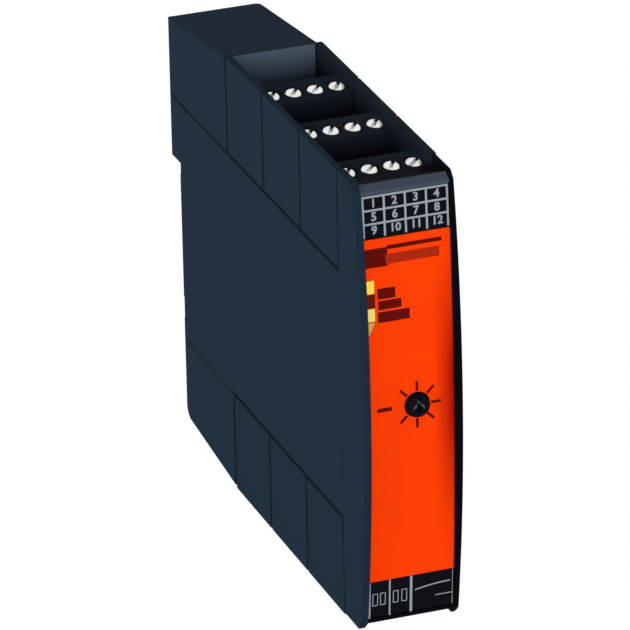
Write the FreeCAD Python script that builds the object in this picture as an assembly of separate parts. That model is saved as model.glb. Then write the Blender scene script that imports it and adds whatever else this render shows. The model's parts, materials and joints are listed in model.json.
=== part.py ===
import FreeCAD, Part
import math
import os
from FreeCAD import Vector

# Safety relay for a 35 mm top-hat rail, with six plug-in terminal blocks.
# Millimetres. X is the width, -Y the operating front, +Z up. The origin lies on the rail seat,
# midway across the width and at the height of the rail's centre line.
# Shapes are built about the housing's mid-height (z = 0) and raised to that origin on export.

# ---------------------------------------------------------------- overall size
WIDTH = 22.5            # one rail module
HEIGHT = 104.0
DEPTH = 121.0

# ---------------------------------------------------------------- rail and what holds to it
RAIL_HEIGHT = 35.0      # top-hat rail, edge to edge
RAIL_LIP = 1.0          # thickness of the rail's lips
RAIL_PLAY = 0.2         # play between a rail edge and the part that faces it
MID_ABOVE_RAIL = 3.5    # housing's mid-height above the rail's centre line
HOOK_DEPTH = 5.4        # reach of hook and latch behind the rail seat
HOOK_GRIP = 2.5         # overlap of hook and latch nose with a rail lip
HOOK_WIDTH = 10.0
SEAT_RELIEF = 0.3       # depth of the rail seat's relief under the hook and the latch nose

# ---------------------------------------------------------------- housing
WALL = 1.6
COVER = 1.5             # side cover
REAR_DEPTH = 38.0       # rear block of the housing, behind the terminal blocks
STEP_DROP = 0.4         # rear block's front edge below the cheeks of the terminal blocks
REAR_FALL = 4.2         # fall of the rear block's roof towards the rail
HEEL_ROUND = 3.0        # round of the housing's lower rear corner
ROOF_ROUND = 1.4        # round of the rear block's right-hand edges
EDGE_ROUND = 0.6        # round of moulded outer edges
SEAM_CUT = 0.35         # chamfer that shows as a line where two mouldings meet
SEAM_GROOVE = 0.3       # depth of the line moulded in the rear block's side

# ---------------------------------------------------------------- front frame and its labels
FRAME_DEPTH = 9.5       # at the frame's corners
FRAME_PLATE = 1.5
RIM_LEFT = 1.7          # side rims of the frame
RIM_RIGHT = 1.0
FRONT_BULGE = 4.0       # rise of the rims' curved edge at mid-height
LABEL_BULGE = 1.8       # rise of the labels' curved face at mid-height
LABEL_DEPTH = 0.3       # labels below the rims at the frame's ends
LABEL = 0.6             # thickness of panel and marking strips
FRAME_CHAMFER = 2.0
FRAME_DROP = 0.9        # middle of the frame below its rims, at the chamfer
FRAME_SINK = 2.6        # the same, where the frame meets the terminal blocks
TOP_MARKING = 9.8       # height of the upper marking strip
BOTTOM_MARKING = 8.8
LABEL_MARGIN = 0.8      # from the chamfer to the nearest label
LABEL_GAP = 0.1
SNAP_ARM = 8.0          # reach of the frame's snap arms into the housing
SNAP_WIDTH = 12.0
SNAP_THICK = 1.3
SNAP_BARB = 0.7
SNAP_PLAY = 0.1

# ---------------------------------------------------------------- terminal blocks
BLOCKS = 3              # in each row
POLES = 4               # in each block
POLE_PITCH = 5.0
BLOCK_HEIGHT = 23.2     # with its gap to the middle of the housing
BLOCK_GAP = 0.2
CHEEK = 1.4             # side walls of a block
LEDGE = 7.0             # length of the tilted ledge that holds the screws
LEDGE_DROP = 1.5        # ledge's rear edge below the cheeks
LEDGE_TILT = 15.0       # degrees, towards the front
DECK_DROP = 8.8         # deck's rear edge below the cheeks
SCREW_SETBACK = 3.7     # screw axis behind the block's front, on the ledge
SCREW_HEAD = 3.8        # diameter
SCREW_HEAD_HEIGHT = 1.6
SCREW_SUNK = 0.5        # head below the ledge
SCREW_EDGE = 0.15       # chamfer of the head
SCREW_SHANK = 2.9       # diameter
SCREW_STEP = 0.5        # screws are sold in lengths of this step
SCREW_OFF_PIN = 1.5     # least distance from a screw's end to the contact pin below it
SCREW_SLOT = 0.75
SCREW_SLOT_DEPTH = 0.8
SCREW_RELIEF = 0.3      # play round a head or shank in the moulding
SLOT_TURNS = (52, 38, 61, 44)   # degrees, as the screws happen to stand
THREAD_PLAY = 0.05
MOUTH_WIDTH = 4.2       # wire funnel, at the deck
MOUTH_LENGTH = 5.0
THROAT_WIDTH = 3.2      # wire funnel, at the clamp
THROAT_LENGTH = 3.6
FUNNEL_SETBACK = 10.8   # funnel's axis behind the block's front
THROAT_HEIGHT = 3.2     # straight part of the funnel above the clamp

# ---------------------------------------------------------------- clamps and pin headers
CLAMP_WIDTH = 3.8
CLAMP_LENGTH = 9.0
CLAMP_HEIGHT = 8.0
CLAMP_BASE = 4.0        # clamp's underside above the block's
CLAMP_WALL = 1.6
CLAMP_PLAY = 0.1
CLAMP_OVERHANG = 0.4    # clamp's rear wall under the edge of the wire funnel
PIN = 1.0               # square contact pins
PIN_PLAY = 0.1
PIN_REACH = 7.0         # pins above the housing's core
PIN_SETBACK = 6.0       # pins behind the block's front
PIN_STAGGER = 1.6       # between the solder ends of neighbouring pins
HEADER_LENGTH = 6.0
HEADER_HEIGHT = 5.0
HEADER_PLAY = 0.1
HEADER_OFF_WALL = 0.15  # strip's ends from the housing's walls

# ---------------------------------------------------------------- knob, switch and indicators
KNOB = 5.2              # diameter
KNOB_X = 1.8
KNOB_Z = 0.3            # from mid-height
KNOB_PROUD = 1.3        # in front of the panel
KNOB_LENGTH = 4.0
KNOB_PLAY = 0.3
KNOB_EDGE = 0.3         # chamfer round the knob's front
KNOB_SLOT = 0.9
KNOB_SLOT_DEPTH = 0.8
SHAFT = 3.0
SHAFT_PLAY = 0.05
SWITCH_SIZE = 9.6
SWITCH_HEIGHT = 4.6
LIGHTS = 4
LIGHT_WIDTH = 2.0
LIGHT_HEIGHT = 2.9
LIGHT_PITCH = 3.15
LIGHT_DROP = 9.3        # first window below the upper edge of the panel
LIGHT_INSET = 0.35      # windows from the frame's left rim
LIGHT_TAPER = 1.3       # narrowing of the lowest window
LIGHT_PLAY = 0.1
LIGHT_FALL = 3.5        # lamps on the board below their windows
LED_HEIGHT = 0.8

# ---------------------------------------------------------------- boards and what they carry
BOARD = 1.5
BOARD_OFF_WALL = 0.15
BOARD_MARGIN = 1.6
RELAY_HEIGHT = 15.6
RELAY_GAP = 3.0
RELAY_OFF_END = 3.4     # from the rear relay to the end of the board
RELAY_OFF_PINS = 2.9    # from the front relays to the pins' lowest solder ends
RELAY_CHAMFER = 0.8
TRANSFORMER = 20.0
CORE_LEG = 6.0          # transformer's iron around its winding
CAPACITOR = 12.5
EAR_OFF_END = 1.7       # from transformer and capacitors to the end of the board
CHIP = 7.0
CHIP_HEIGHT = 1.2
CONNECTOR_LENGTH = 12.0
CONNECTOR_DEPTH = 3.5
CONNECTOR_HEIGHT = 4.0
CONNECTOR_OFF_END = 3.8  # from the main board's lower edge

# ---------------------------------------------------------------- rail latch and its spring
LATCH_DEPTH = 2.8       # slider's thickness in its channel
LATCH_FLANGE = 1.2      # flanges that hold it in the channel
LATCH_PLAY = 0.1
LATCH_TAIL = 4.6        # tail below the housing, for a screwdriver
LATCH_NOSE = 6.0        # height of the nose at the rail seat
SPRING = 2.6            # outside diameter
SPRING_WIRE = 0.4
SPRING_LENGTH = 9.0
SPRING_TURNS = 5
SPRING_PLAY = 0.3
LUG = 2.0               # housing's lug that the spring stands on
LUG_DEPTH_BELOW_RAIL = 16.0

# ---------------------------------------------------------------- places that follow
half_width = WIDTH / 2
half_height = HEIGHT / 2
core = half_height - BLOCK_HEIGHT
step_half = half_height - STEP_DROP
rear_half = step_half - REAR_FALL

y_rear = HOOK_DEPTH
y_rim = y_rear - DEPTH
y_corner = y_rim + FRONT_BULGE
y_frame = y_corner + FRAME_DEPTH
y_block = y_frame + BLOCK_GAP
y_step = y_rear - REAR_DEPTH
block_step = (y_step - y_block) / BLOCKS
block_length = block_step - BLOCK_GAP
roof_slope = REAR_FALL / (y_rear - y_step)

rail_z = -MID_ABOVE_RAIL
hook_z = rail_z + RAIL_HEIGHT / 2 + RAIL_PLAY
latch_z = rail_z - RAIL_HEIGHT / 2 - RAIL_PLAY
heel_half = rear_half + roof_slope * y_rear

block_base = core + BLOCK_GAP
ledge_tan = math.tan(math.radians(LEDGE_TILT))
ledge_rear = half_height - LEDGE_DROP
ledge_front = ledge_rear - LEDGE * ledge_tan
deck_rear = half_height - DECK_DROP
screw_z = ledge_front + SCREW_SETBACK * ledge_tan
screw_room = (screw_z - core - PIN_REACH - SCREW_OFF_PIN) / math.cos(math.radians(LEDGE_TILT))
screw_length = math.floor((screw_room - SCREW_SUNK) / SCREW_STEP) * SCREW_STEP
bore_depth = SCREW_SUNK + screw_length + SCREW_RELIEF
clamp_z = block_base + CLAMP_BASE
clamp_top = clamp_z + CLAMP_HEIGHT
clamp_y = FUNNEL_SETBACK + THROAT_LENGTH / 2 - CLAMP_LENGTH + CLAMP_OVERHANG

board_x = -half_width + WALL + BOARD_OFF_WALL
board_face = board_x + BOARD
cover_x = half_width - COVER
front_board_y = y_frame + BOARD
y_lamp = y_frame - LED_HEIGHT
snap_end = y_frame + SNAP_ARM + BOARD_MARGIN
board_end = -LATCH_DEPTH - LATCH_PLAY - 2 * WALL
relay_z = core - HEADER_HEIGHT - POLES * PIN_STAGGER - RELAY_OFF_PINS
relay_width = relay_z - RELAY_GAP / 2
relay_length = (board_end - RELAY_OFF_END - snap_end - RELAY_GAP) / 2
ear_y = y_step + WALL + 2 * BOARD_MARGIN
ear_length = board_end - EAR_OFF_END - ear_y
rim_left = -half_width + RIM_LEFT
rim_right = half_width - RIM_RIGHT

label_end = half_height - FRAME_CHAMFER - LABEL_MARGIN
label_y_end = y_corner + LABEL_DEPTH
label_y_mid = label_y_end - LABEL_BULGE
panel_top = label_end - TOP_MARKING
panel_bottom = -label_end + BOTTOM_MARKING
light_top = panel_top - LIGHT_DROP
pole_x = [(i - (POLES - 1) / 2) * POLE_PITCH for i in range(POLES)]


# ---------------------------------------------------------------- helpers
def box(x0, x1, y0, y1, z0, z1):
    return Part.makeBox(x1 - x0, y1 - y0, z1 - z0, Vector(x0, y0, z0))


def side_prism(points, x0, x1):
    """Prism across the width whose outline is a list of (y, z) points."""
    corners = [Vector(x0, y, z) for y, z in points]
    outline = Part.makePolygon(corners + corners[:1])
    return Part.Face(outline).extrude(Vector(x1 - x0, 0, 0))


def arc_prism(back, front_end, front_mid, z_end, x0, x1):
    """Prism with a flat back and a front face that curves from z = -z_end to z_end."""
    low = Vector(x0, front_end, -z_end)
    high = Vector(x0, front_end, z_end)
    arc = Part.Arc(low, Vector(x0, front_mid, 0), high).toShape()
    back_low = Vector(x0, back, -z_end)
    back_high = Vector(x0, back, z_end)
    straight = Part.makePolygon([high, back_high, back_low, low])
    outline = Part.Wire([arc] + straight.Edges)
    return Part.Face(outline).extrude(Vector(x1 - x0, 0, 0))


def rounded(shape, radius, wanted):
    """Rounds the edges for which wanted(centre, direction) is true."""
    edges = []
    for edge in shape.Edges:
        if edge.Curve.TypeId != "Part::GeomLine":
            continue
        direction = edge.tangentAt(edge.FirstParameter)
        if wanted(edge.CenterOfMass, direction):
            edges.append(edge)
    return shape.makeFillet(radius, edges)


def chamfered(shape, size, wanted):
    edges = []
    for edge in shape.Edges:
        if edge.Curve.TypeId != "Part::GeomLine":
            continue
        direction = edge.tangentAt(edge.FirstParameter)
        if wanted(edge.CenterOfMass, direction):
            edges.append(edge)
    return shape.makeChamfer(size, edges)


def near(a, b):
    return abs(a - b) < 0.01


def frustum(x, y, z_low, low_size, z_high, high_size):
    """Four-sided funnel between two level rectangles, each (width, length)."""
    wires = []
    for z, (width, length) in ((z_low, low_size), (z_high, high_size)):
        corners = []
        for sx, sy in ((-1, -1), (1, -1), (1, 1), (-1, 1)):
            corners.append(Vector(x + sx * width / 2, y + sy * length / 2, z))
        wires.append(Part.makePolygon(corners + corners[:1]))
    return Part.makeLoft(wires, True, True)


def plan_prism(points, z0, z1):
    """Upright prism whose outline is a list of (x, y) points."""
    corners = [Vector(x, y, z0) for x, y in points]
    outline = Part.makePolygon(corners + corners[:1])
    return Part.Face(outline).extrude(Vector(0, 0, z1 - z0))


def moved(shape, x=0.0, y=0.0, z=0.0):
    copy = shape.copy()
    copy.translate(Vector(x, y, z))
    return copy


def tilted(shape, x, y, z):
    """Leans a part built on the Z axis towards the front and sets it at a point."""
    copy = shape.copy()
    copy.rotate(Vector(0, 0, 0), Vector(1, 0, 0), LEDGE_TILT)
    copy.translate(Vector(x, y, z))
    return copy


def front_cylinder(diameter, y0, y1, x, z):
    return Part.makeCylinder(diameter / 2, y1 - y0, Vector(x, y0, z), Vector(0, 1, 0))


# ---------------------------------------------------------------- housing
def housing_outline():
    return [
        (y_rear, rear_half), (y_step, step_half), (y_step, core), (y_frame, core),
        (y_frame, -core), (y_step, -core), (y_step, -step_half), (0, -heel_half),
        (0, hook_z), (y_rear, hook_z),
    ]


def housing_form(x0, x1):
    """The slab between two widths of the housing's whole outer form."""
    slab = side_prism(housing_outline(), -half_width, half_width)
    slab = rounded(slab, HEEL_ROUND, lambda c, d: near(c.y, 0) and near(c.z, -heel_half))
    slab = rounded(slab, ROOF_ROUND, lambda c, d: near(c.x, half_width) and
                   y_step < c.y < y_rear and abs(c.z) > core and abs(d.y) > 0.9)
    return slab.common(box(x0, x1, y_frame, y_rear, -half_height, half_height))


def latch_channel(play):
    """T-shaped track of the rail latch, open to the rear and below."""
    low = -heel_half - LATCH_TAIL
    high = latch_z + play
    wide = HOOK_WIDTH / 2 + play
    slim = wide - LATCH_FLANGE
    track = box(-wide, wide, -LATCH_DEPTH - play, -LATCH_DEPTH / 2 + play, low, high)
    return track.fuse(box(-slim, slim, -LATCH_DEPTH / 2, 0, low, high)).removeSplitter()


def rail_hook():
    """Fixed nose that reaches behind the rail's upper lip, with a lead-in slope."""
    y_lip = RAIL_LIP + RAIL_PLAY
    tip = hook_z - HOOK_GRIP
    nose = [(y_lip, hook_z), (y_lip, tip), (y_rear - 2 * RAIL_LIP, tip), (y_rear, hook_z)]
    return side_prism(nose, -HOOK_WIDTH / 2, HOOK_WIDTH / 2)


def seat_reliefs():
    """Shallow steps across the rear face, so that the rail seat ends clear of both noses."""
    upper = hook_z - HOOK_GRIP - RAIL_PLAY
    lower = latch_z + HOOK_GRIP + RAIL_PLAY
    spans = ((upper, hook_z), (latch_z - HOOK_GRIP, lower))
    return [box(-half_width, half_width, -SEAT_RELIEF, 0, z0, z1) for z0, z1 in spans]


def header_windows(play):
    windows = []
    for index in range(BLOCKS):
        y = y_block + index * block_step + PIN_SETBACK
        half = HEADER_LENGTH / 2 + play
        for low, high in ((core - 2 * WALL, core), (-core, -core + 2 * WALL)):
            inner = half_width - WALL - HEADER_OFF_WALL + play
            windows.append(box(-inner, inner - COVER + WALL, y - half, y + half, low, high))
    return windows


def snap_pockets():
    """Blind pockets in both side walls that the front frame's barbs drop into."""
    half = SNAP_WIDTH / 2 + SNAP_PLAY
    y_back = y_frame + SNAP_ARM + SNAP_PLAY
    y_front = y_back - 2 * SNAP_BARB - 3 * SNAP_PLAY
    depth = SNAP_BARB + SNAP_PLAY
    left = box(-half_width + WALL - depth, -half_width + WALL, y_front, y_back, -half, half)
    right = box(cover_x, cover_x + depth, y_front, y_back, -half, half)
    return left, right


def spring_lug():
    z = latch_z - LUG_DEPTH_BELOW_RAIL
    half = SPRING / 2
    return box(-half, half, -LATCH_DEPTH - LATCH_PLAY, -LATCH_PLAY, z, z + LUG)


def housing():
    body = housing_form(-half_width, cover_x)
    face = Part.Face(Part.makePolygon([Vector(0, y, z) for y, z in
                                       housing_outline() + housing_outline()[:1]]))
    cavity = face.makeOffset2D(-WALL).extrude(Vector(WIDTH, 0, 0))
    cavity.translate(Vector(-half_width + WALL, 0, 0))
    opening = box(-half_width + WALL, half_width, y_frame - WALL, y_frame + 2 * WALL,
                  -core + WALL, core - WALL)
    body = body.cut(cavity).cut(opening)
    boss_half = HOOK_WIDTH / 2 + LATCH_PLAY + WALL
    boss = box(-boss_half, boss_half, -LATCH_DEPTH - LATCH_PLAY - WALL, 0,
               -half_height, latch_z + LATCH_PLAY + WALL)
    body = body.fuse(boss.common(housing_form(-half_width, half_width)))
    body = body.cut(latch_channel(LATCH_PLAY)).fuse([spring_lug(), rail_hook()])
    for cut in header_windows(HEADER_PLAY) + seat_reliefs() + [snap_pockets()[0]]:
        body = body.cut(cut)
    body = body.removeSplitter()
    left = -half_width
    body = chamfered(body, SEAM_CUT, lambda c, d: near(c.x, left) and
                     (near(abs(c.z), core) or near(c.y, y_step) or near(c.y, y_frame)))
    return body.cut(rear_seam())


def rear_seam():
    """Shallow line in the rear block's side that carries on the upper seam."""
    x = -half_width
    profile = [Vector(x, y_step, core - SEAM_GROOVE), Vector(x + SEAM_GROOVE, y_step, core),
               Vector(x, y_step, core + SEAM_GROOVE)]
    face = Part.Face(Part.makePolygon(profile + profile[:1]))
    return face.extrude(Vector(0, -y_step, 0))


def side_cover():
    cover = housing_form(cover_x, half_width)
    cover = rounded(cover, EDGE_ROUND, lambda c, d: near(c.x, half_width) and
                    (c.y > y_step or near(abs(c.z), core)))
    arm = SNAP_THICK
    for index in range(BLOCKS - 1):
        y = y_block + (index + 1) * block_step - arm
        for sign in (1, -1):
            z = sign * (core - WALL - SNAP_PLAY)
            low, high = sorted((z, z - sign * arm))
            cover = cover.fuse(box(cover_x - 2 * COVER, cover_x, y - arm, y + arm, low, high))
    for cut in seat_reliefs() + [snap_pockets()[1]]:
        cover = cover.cut(cut)
    return cover


# ---------------------------------------------------------------- front frame, labels, lights
def rim_outline(x0, x1):
    """One side rim: chamfered corners and a front edge that curves forward."""
    z_arc = half_height - FRAME_CHAMFER
    blank = arc_prism(y_frame, y_corner, y_rim, z_arc, x0, x1)
    for sign in (1, -1):
        corner = [(y_frame, sign * z_arc), (y_corner, sign * z_arc),
                  (y_corner + FRAME_CHAMFER, sign * half_height), (y_frame, sign * half_height)]
        blank = blank.fuse(side_prism(corner, x0, x1))
    return blank.removeSplitter()


def label_sheet(thickness, margin):
    """Curved sheet that lies between the rims; its outer face is the labels'."""
    x0 = rim_left + margin
    x1 = rim_right - margin
    outer = arc_prism(y_frame, label_y_end, label_y_mid, label_end - margin, x0, x1)
    inside = arc_prism(y_frame, label_y_end + thickness, label_y_mid + thickness,
                       label_end, x0, x1)
    return outer.cut(inside)


def knob_hole():
    return front_cylinder(KNOB + 2 * KNOB_PLAY, y_rim, y_frame, KNOB_X, KNOB_Z)


def light_paths(play):
    """Straight through panel and frame from each window, then down to its lamp on the board."""
    x0 = rim_left + LIGHT_INSET - play
    x1 = x0 + LIGHT_WIDTH + 2 * play
    y_bend = label_y_end + LABEL + FRAME_PLATE
    paths = []
    for index in range(LIGHTS):
        top = light_top - index * LIGHT_PITCH + play
        bottom = top - LIGHT_HEIGHT - 2 * play
        taper = LIGHT_TAPER if index == LIGHTS - 1 else 0.0
        rings = []
        for y, fall in ((y_rim, 0), (y_bend, 0), (y_lamp, LIGHT_FALL)):
            ring = [Vector(x0, y, bottom - fall), Vector(x0, y, top - fall),
                    Vector(x1, y, top - fall), Vector(x1 - taper, y, bottom - fall)]
            rings.append(Part.makePolygon(ring + ring[:1]))
        paths.append(Part.makeLoft(rings, True, True))
    return paths


def front_frame():
    rims = [rim_outline(-half_width, rim_left), rim_outline(rim_right, half_width)]
    middle = arc_prism(y_frame, label_y_end, label_y_mid, label_end, rim_left, rim_right)
    for sign in (1, -1):
        band = [(y_frame, sign * label_end), (y_corner, sign * label_end),
                (y_corner, sign * (half_height - FRAME_CHAMFER)),
                (y_corner + FRAME_CHAMFER, sign * (half_height - FRAME_DROP)),
                (y_frame, sign * (half_height - FRAME_SINK))]
        middle = middle.fuse(side_prism(band, -half_width, half_width))
    frame = middle.fuse(rims).cut(label_sheet(LABEL, 0))
    hollow_z = half_height - FRAME_SINK - WALL
    hollow = arc_prism(y_frame, label_y_end + LABEL + FRAME_PLATE,
                       label_y_mid + LABEL + FRAME_PLATE, hollow_z, rim_left, rim_right)
    frame = frame.cut(hollow)
    for sign in (1, -1):
        low, high = sorted((sign * core, sign * (core - WALL)))
        frame = frame.fuse(box(rim_left, rim_right, label_y_end + LABEL, y_frame, low, high))
    for cut in [knob_hole()] + light_paths(LIGHT_PLAY):
        frame = frame.cut(cut)
    frame = frame.fuse(snap_arms()).removeSplitter()
    return rounded(frame, EDGE_ROUND, lambda c, d: near(abs(c.x), half_width) and
                   near(abs(c.z), half_height) and abs(d.y) > 0.9)


def snap_arms():
    """Flat arms along both side walls, each with a sloped barb at its end."""
    arms = []
    y_back = y_frame + SNAP_ARM
    y_root = y_frame - 2 * WALL
    for sign, wall_face, x_rim in ((1, cover_x, rim_right), (-1, half_width - WALL, rim_left)):
        x_out = sign * (wall_face - SNAP_PLAY)
        x_in = x_out - sign * SNAP_THICK
        y_barb = y_back - 2 * SNAP_BARB
        arm = [(x_in, y_root), (x_rim, y_root), (x_rim, y_frame), (x_out, y_frame),
               (x_out, y_barb), (x_out + sign * SNAP_BARB, y_barb), (x_out, y_back),
               (x_in, y_back)]
        arms.append(plan_prism(arm, -SNAP_WIDTH / 2, SNAP_WIDTH / 2))
    return arms


def label_piece(z0, z1):
    """The stretch of the label sheet between two heights."""
    sheet = label_sheet(LABEL, LABEL_GAP)
    return sheet.common(box(-half_width, half_width, y_rim, y_frame, z0, z1))


def front_panel():
    panel = label_piece(panel_bottom + LABEL_GAP, panel_top - LABEL_GAP).cut(knob_hole())
    for cut in light_paths(LIGHT_PLAY):
        panel = panel.cut(cut)
    return panel


def light_guides():
    """Clear bars from the lamps to the panel, their ends flush with its face."""
    behind_face = arc_prism(y_lamp, label_y_end, label_y_mid, label_end, -half_width, half_width)
    return [path.common(behind_face) for path in light_paths(0)]


# ---------------------------------------------------------------- terminal blocks
def screw(slot_turn):
    """Slotted cheese-head screw on the Z axis, under a ledge at z = 0."""
    top = -SCREW_SUNK
    head = Part.makeCylinder(SCREW_HEAD / 2, SCREW_HEAD_HEIGHT, Vector(0, 0, top - SCREW_HEAD_HEIGHT))
    head = head.makeChamfer(SCREW_EDGE, [e for e in head.Edges if near(e.CenterOfMass.z, top)])
    shank = Part.makeCylinder(SCREW_SHANK / 2, screw_length, Vector(0, 0, top - screw_length))
    slot = box(-SCREW_HEAD, SCREW_HEAD, -SCREW_SLOT / 2, SCREW_SLOT / 2,
               top - SCREW_SLOT_DEPTH, 0)
    slot.rotate(Vector(0, 0, 0), Vector(0, 0, 1), slot_turn)
    return head.fuse(shank).cut(slot).removeSplitter()


def screw_clearance():
    """Well for a screw's head and bore for its shank."""
    well_depth = SCREW_HEAD_HEIGHT + SCREW_SUNK
    well = Part.makeCylinder(SCREW_HEAD / 2 + SCREW_RELIEF, well_depth + SCREW_HEAD,
                             Vector(0, 0, -well_depth))
    bore = Part.makeCylinder(SCREW_SHANK / 2 + SCREW_RELIEF, bore_depth,
                             Vector(0, 0, -bore_depth))
    return well.fuse(bore)


def terminal_screws():
    return [tilted(screw(SLOT_TURNS[i % len(SLOT_TURNS)]), x, y_block + SCREW_SETBACK, screw_z)
            for i, x in enumerate(pole_x)]


def clamp():
    """Cage that the screw draws tight on the wire, over the header's pin."""
    y0 = y_block + clamp_y
    y1 = y0 + CLAMP_LENGTH
    half = CLAMP_WIDTH / 2
    cage = box(-half, half, y0, y1, clamp_z, clamp_top)
    y_wire = y_block + FUNNEL_SETBACK
    cage = cage.cut(box(-THROAT_WIDTH / 2, THROAT_WIDTH / 2, y_wire - THROAT_LENGTH / 2,
                        y_wire + THROAT_LENGTH / 2, clamp_z + CLAMP_WALL, clamp_top))
    thread = Part.makeCylinder(SCREW_SHANK / 2 + THREAD_PLAY, bore_depth,
                               Vector(0, 0, -bore_depth))
    cage = cage.cut(tilted(thread, 0, y_block + SCREW_SETBACK, screw_z))
    pin_half = PIN / 2 + PIN_PLAY
    y_pin = y_block + PIN_SETBACK
    pin_top = core + PIN_REACH + PIN_PLAY
    return cage.cut(box(-pin_half, pin_half, y_pin - pin_half, y_pin + pin_half, clamp_z, pin_top))


def terminal_clamps():
    return [moved(clamp(), x) for x in pole_x]


def terminal_body():
    """Plug-in block: two cheeks, a tilted screw ledge and a deck that falls to the rear."""
    y0 = y_block
    y1 = y_block + block_length
    deck = [(y0, block_base), (y0, ledge_front), (y0 + LEDGE, ledge_rear), (y1, deck_rear),
            (y1, block_base)]
    block = side_prism(deck, -half_width, half_width)
    for x0 in (-half_width, half_width - CHEEK):
        block = block.fuse(box(x0, x0 + CHEEK, y0, y1, block_base, half_height))
    block = block.removeSplitter()
    block = chamfered(block, SEAM_CUT, lambda c, d: near(abs(c.x), half_width) and
                      not near(abs(c.z), half_height))
    for x in pole_x:
        block = block.cut(pole_cavity(x))
    return block


def pole_cavity(x):
    """Everything that one pole hollows out of a block."""
    y_wire = y_block + FUNNEL_SETBACK
    throat = (THROAT_WIDTH, THROAT_LENGTH)
    mouth_z = ledge_rear
    throat_z = clamp_top + THROAT_HEIGHT
    funnel = frustum(x, y_wire, throat_z, throat, mouth_z, (MOUTH_WIDTH, MOUTH_LENGTH))
    shaft = box(x - THROAT_WIDTH / 2, x + THROAT_WIDTH / 2, y_wire - THROAT_LENGTH / 2,
                y_wire + THROAT_LENGTH / 2, clamp_z, throat_z)
    y0 = y_block + clamp_y - CLAMP_PLAY
    y1 = y0 + CLAMP_LENGTH + 2 * CLAMP_PLAY
    half = CLAMP_WIDTH / 2 + CLAMP_PLAY
    chamber = box(x - half, x + half, y0, y1, block_base, clamp_top)
    screw_hole = tilted(screw_clearance(), x, y_block + SCREW_SETBACK, screw_z)
    return funnel.fuse([shaft, chamber, screw_hole])


# ---------------------------------------------------------------- pin headers
def header_strip():
    """Plastic strip that fills its window in the core's roof and carries the pins."""
    y = y_block + PIN_SETBACK
    half = HEADER_LENGTH / 2
    inner = half_width - WALL - HEADER_OFF_WALL
    strip = box(-inner, inner - COVER + WALL, y - half, y + half, core - HEADER_HEIGHT, core)
    for x in pole_x:
        strip = strip.cut(box(x - PIN / 2, x + PIN / 2, y - PIN / 2, y + PIN / 2,
                              core - HEADER_HEIGHT, core))
    return strip


def header_pins():
    """Four pins, each bent below the strip to its own height on the board's face."""
    y = y_block + PIN_SETBACK
    pins = []
    for index, x in enumerate(pole_x):
        z_leg = core - HEADER_HEIGHT - (index + 1) * PIN_STAGGER
        pin = box(x - PIN / 2, x + PIN / 2, y - PIN / 2, y + PIN / 2, z_leg, core + PIN_REACH)
        leg = box(board_face, x, y - PIN / 2, y + PIN / 2, z_leg, z_leg + PIN)
        pins.append(pin.fuse(leg).removeSplitter())
    return pins


# ---------------------------------------------------------------- knob and switch
def selector_knob():
    y_front = label_y_mid - KNOB_PROUD
    cap = front_cylinder(KNOB, y_front, y_front + KNOB_LENGTH, KNOB_X, KNOB_Z)
    cap = cap.makeChamfer(KNOB_EDGE, [e for e in cap.Edges if near(e.CenterOfMass.y, y_front)])
    shaft = front_cylinder(SHAFT, y_front + KNOB_LENGTH, y_frame - SHAFT_PLAY,
                           KNOB_X, KNOB_Z)
    slot = box(KNOB_X - KNOB_SLOT / 2, KNOB_X + KNOB_SLOT / 2, y_front - KNOB_PROUD,
               y_front + KNOB_SLOT_DEPTH, KNOB_Z - KNOB / 4, KNOB_Z + KNOB)
    return cap.fuse(shaft).cut(slot).removeSplitter()


def rotary_switch():
    half = SWITCH_SIZE / 2
    y0 = y_frame - SWITCH_HEIGHT
    body = box(KNOB_X - half, KNOB_X + half, y0, y_frame,
               KNOB_Z - half, KNOB_Z + half)
    body = chamfered(body, EDGE_ROUND, lambda c, d: abs(d.y) > 0.9)
    return body.cut(front_cylinder(SHAFT + 2 * SHAFT_PLAY, y0, y_frame, KNOB_X, KNOB_Z))


# ---------------------------------------------------------------- boards and components
def main_board():
    """Board along the left wall, notched round a snap arm, with ears in the rear block."""
    y0 = front_board_y
    y_ear = y_step + WALL + BOARD_MARGIN
    z_core = core - HEADER_HEIGHT
    z_ear = rear_half - WALL - BOARD_MARGIN
    outline = [(y0, z_core), (y_ear, z_core), (y_ear, z_ear), (board_end, z_ear),
               (board_end, -z_ear), (y_ear, -z_ear), (y_ear, -z_core), (y0, -z_core)]
    notch = SNAP_WIDTH / 2 + SNAP_PLAY
    arm = box(board_x, board_face, y0, snap_end, -notch, notch)
    return side_prism(outline, board_x, board_face).cut(arm)


def lamp_z(index):
    return light_top - index * LIGHT_PITCH - LIGHT_HEIGHT / 2 - LIGHT_FALL


def front_board():
    """Board behind the panel, with an ear beside the left wall that carries the lamps."""
    inner = half_width - WALL - BOARD_MARGIN
    z = core - WALL - BOARD_OFF_WALL
    board = box(-inner, inner, y_frame, front_board_y, -z, z)
    z_ear = lamp_z(LIGHTS - 1) - 2 * LED_HEIGHT
    return board.fuse(box(board_x, -inner, y_frame, front_board_y, z_ear, z)).removeSplitter()


def indicator_leds():
    x0 = rim_left + LIGHT_INSET
    return [box(x0 + LED_HEIGHT / 2, x0 + 2 * LED_HEIGHT, y_lamp, y_frame,
                lamp_z(i) - LED_HEIGHT, lamp_z(i) + LED_HEIGHT) for i in range(LIGHTS)]


def relay(y0, z_mid):
    body = box(board_face, board_face + RELAY_HEIGHT, y0, y0 + relay_length,
               z_mid - relay_width / 2, z_mid + relay_width / 2)
    return chamfered(body, RELAY_CHAMFER, lambda c, d: c.x > board_face + RELAY_CHAMFER)


def relays():
    z = (relay_width + RELAY_GAP) / 2
    rear_y = snap_end + relay_length + RELAY_GAP
    return [relay(snap_end, z), relay(snap_end, -z), relay(rear_y, 0)]


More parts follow.
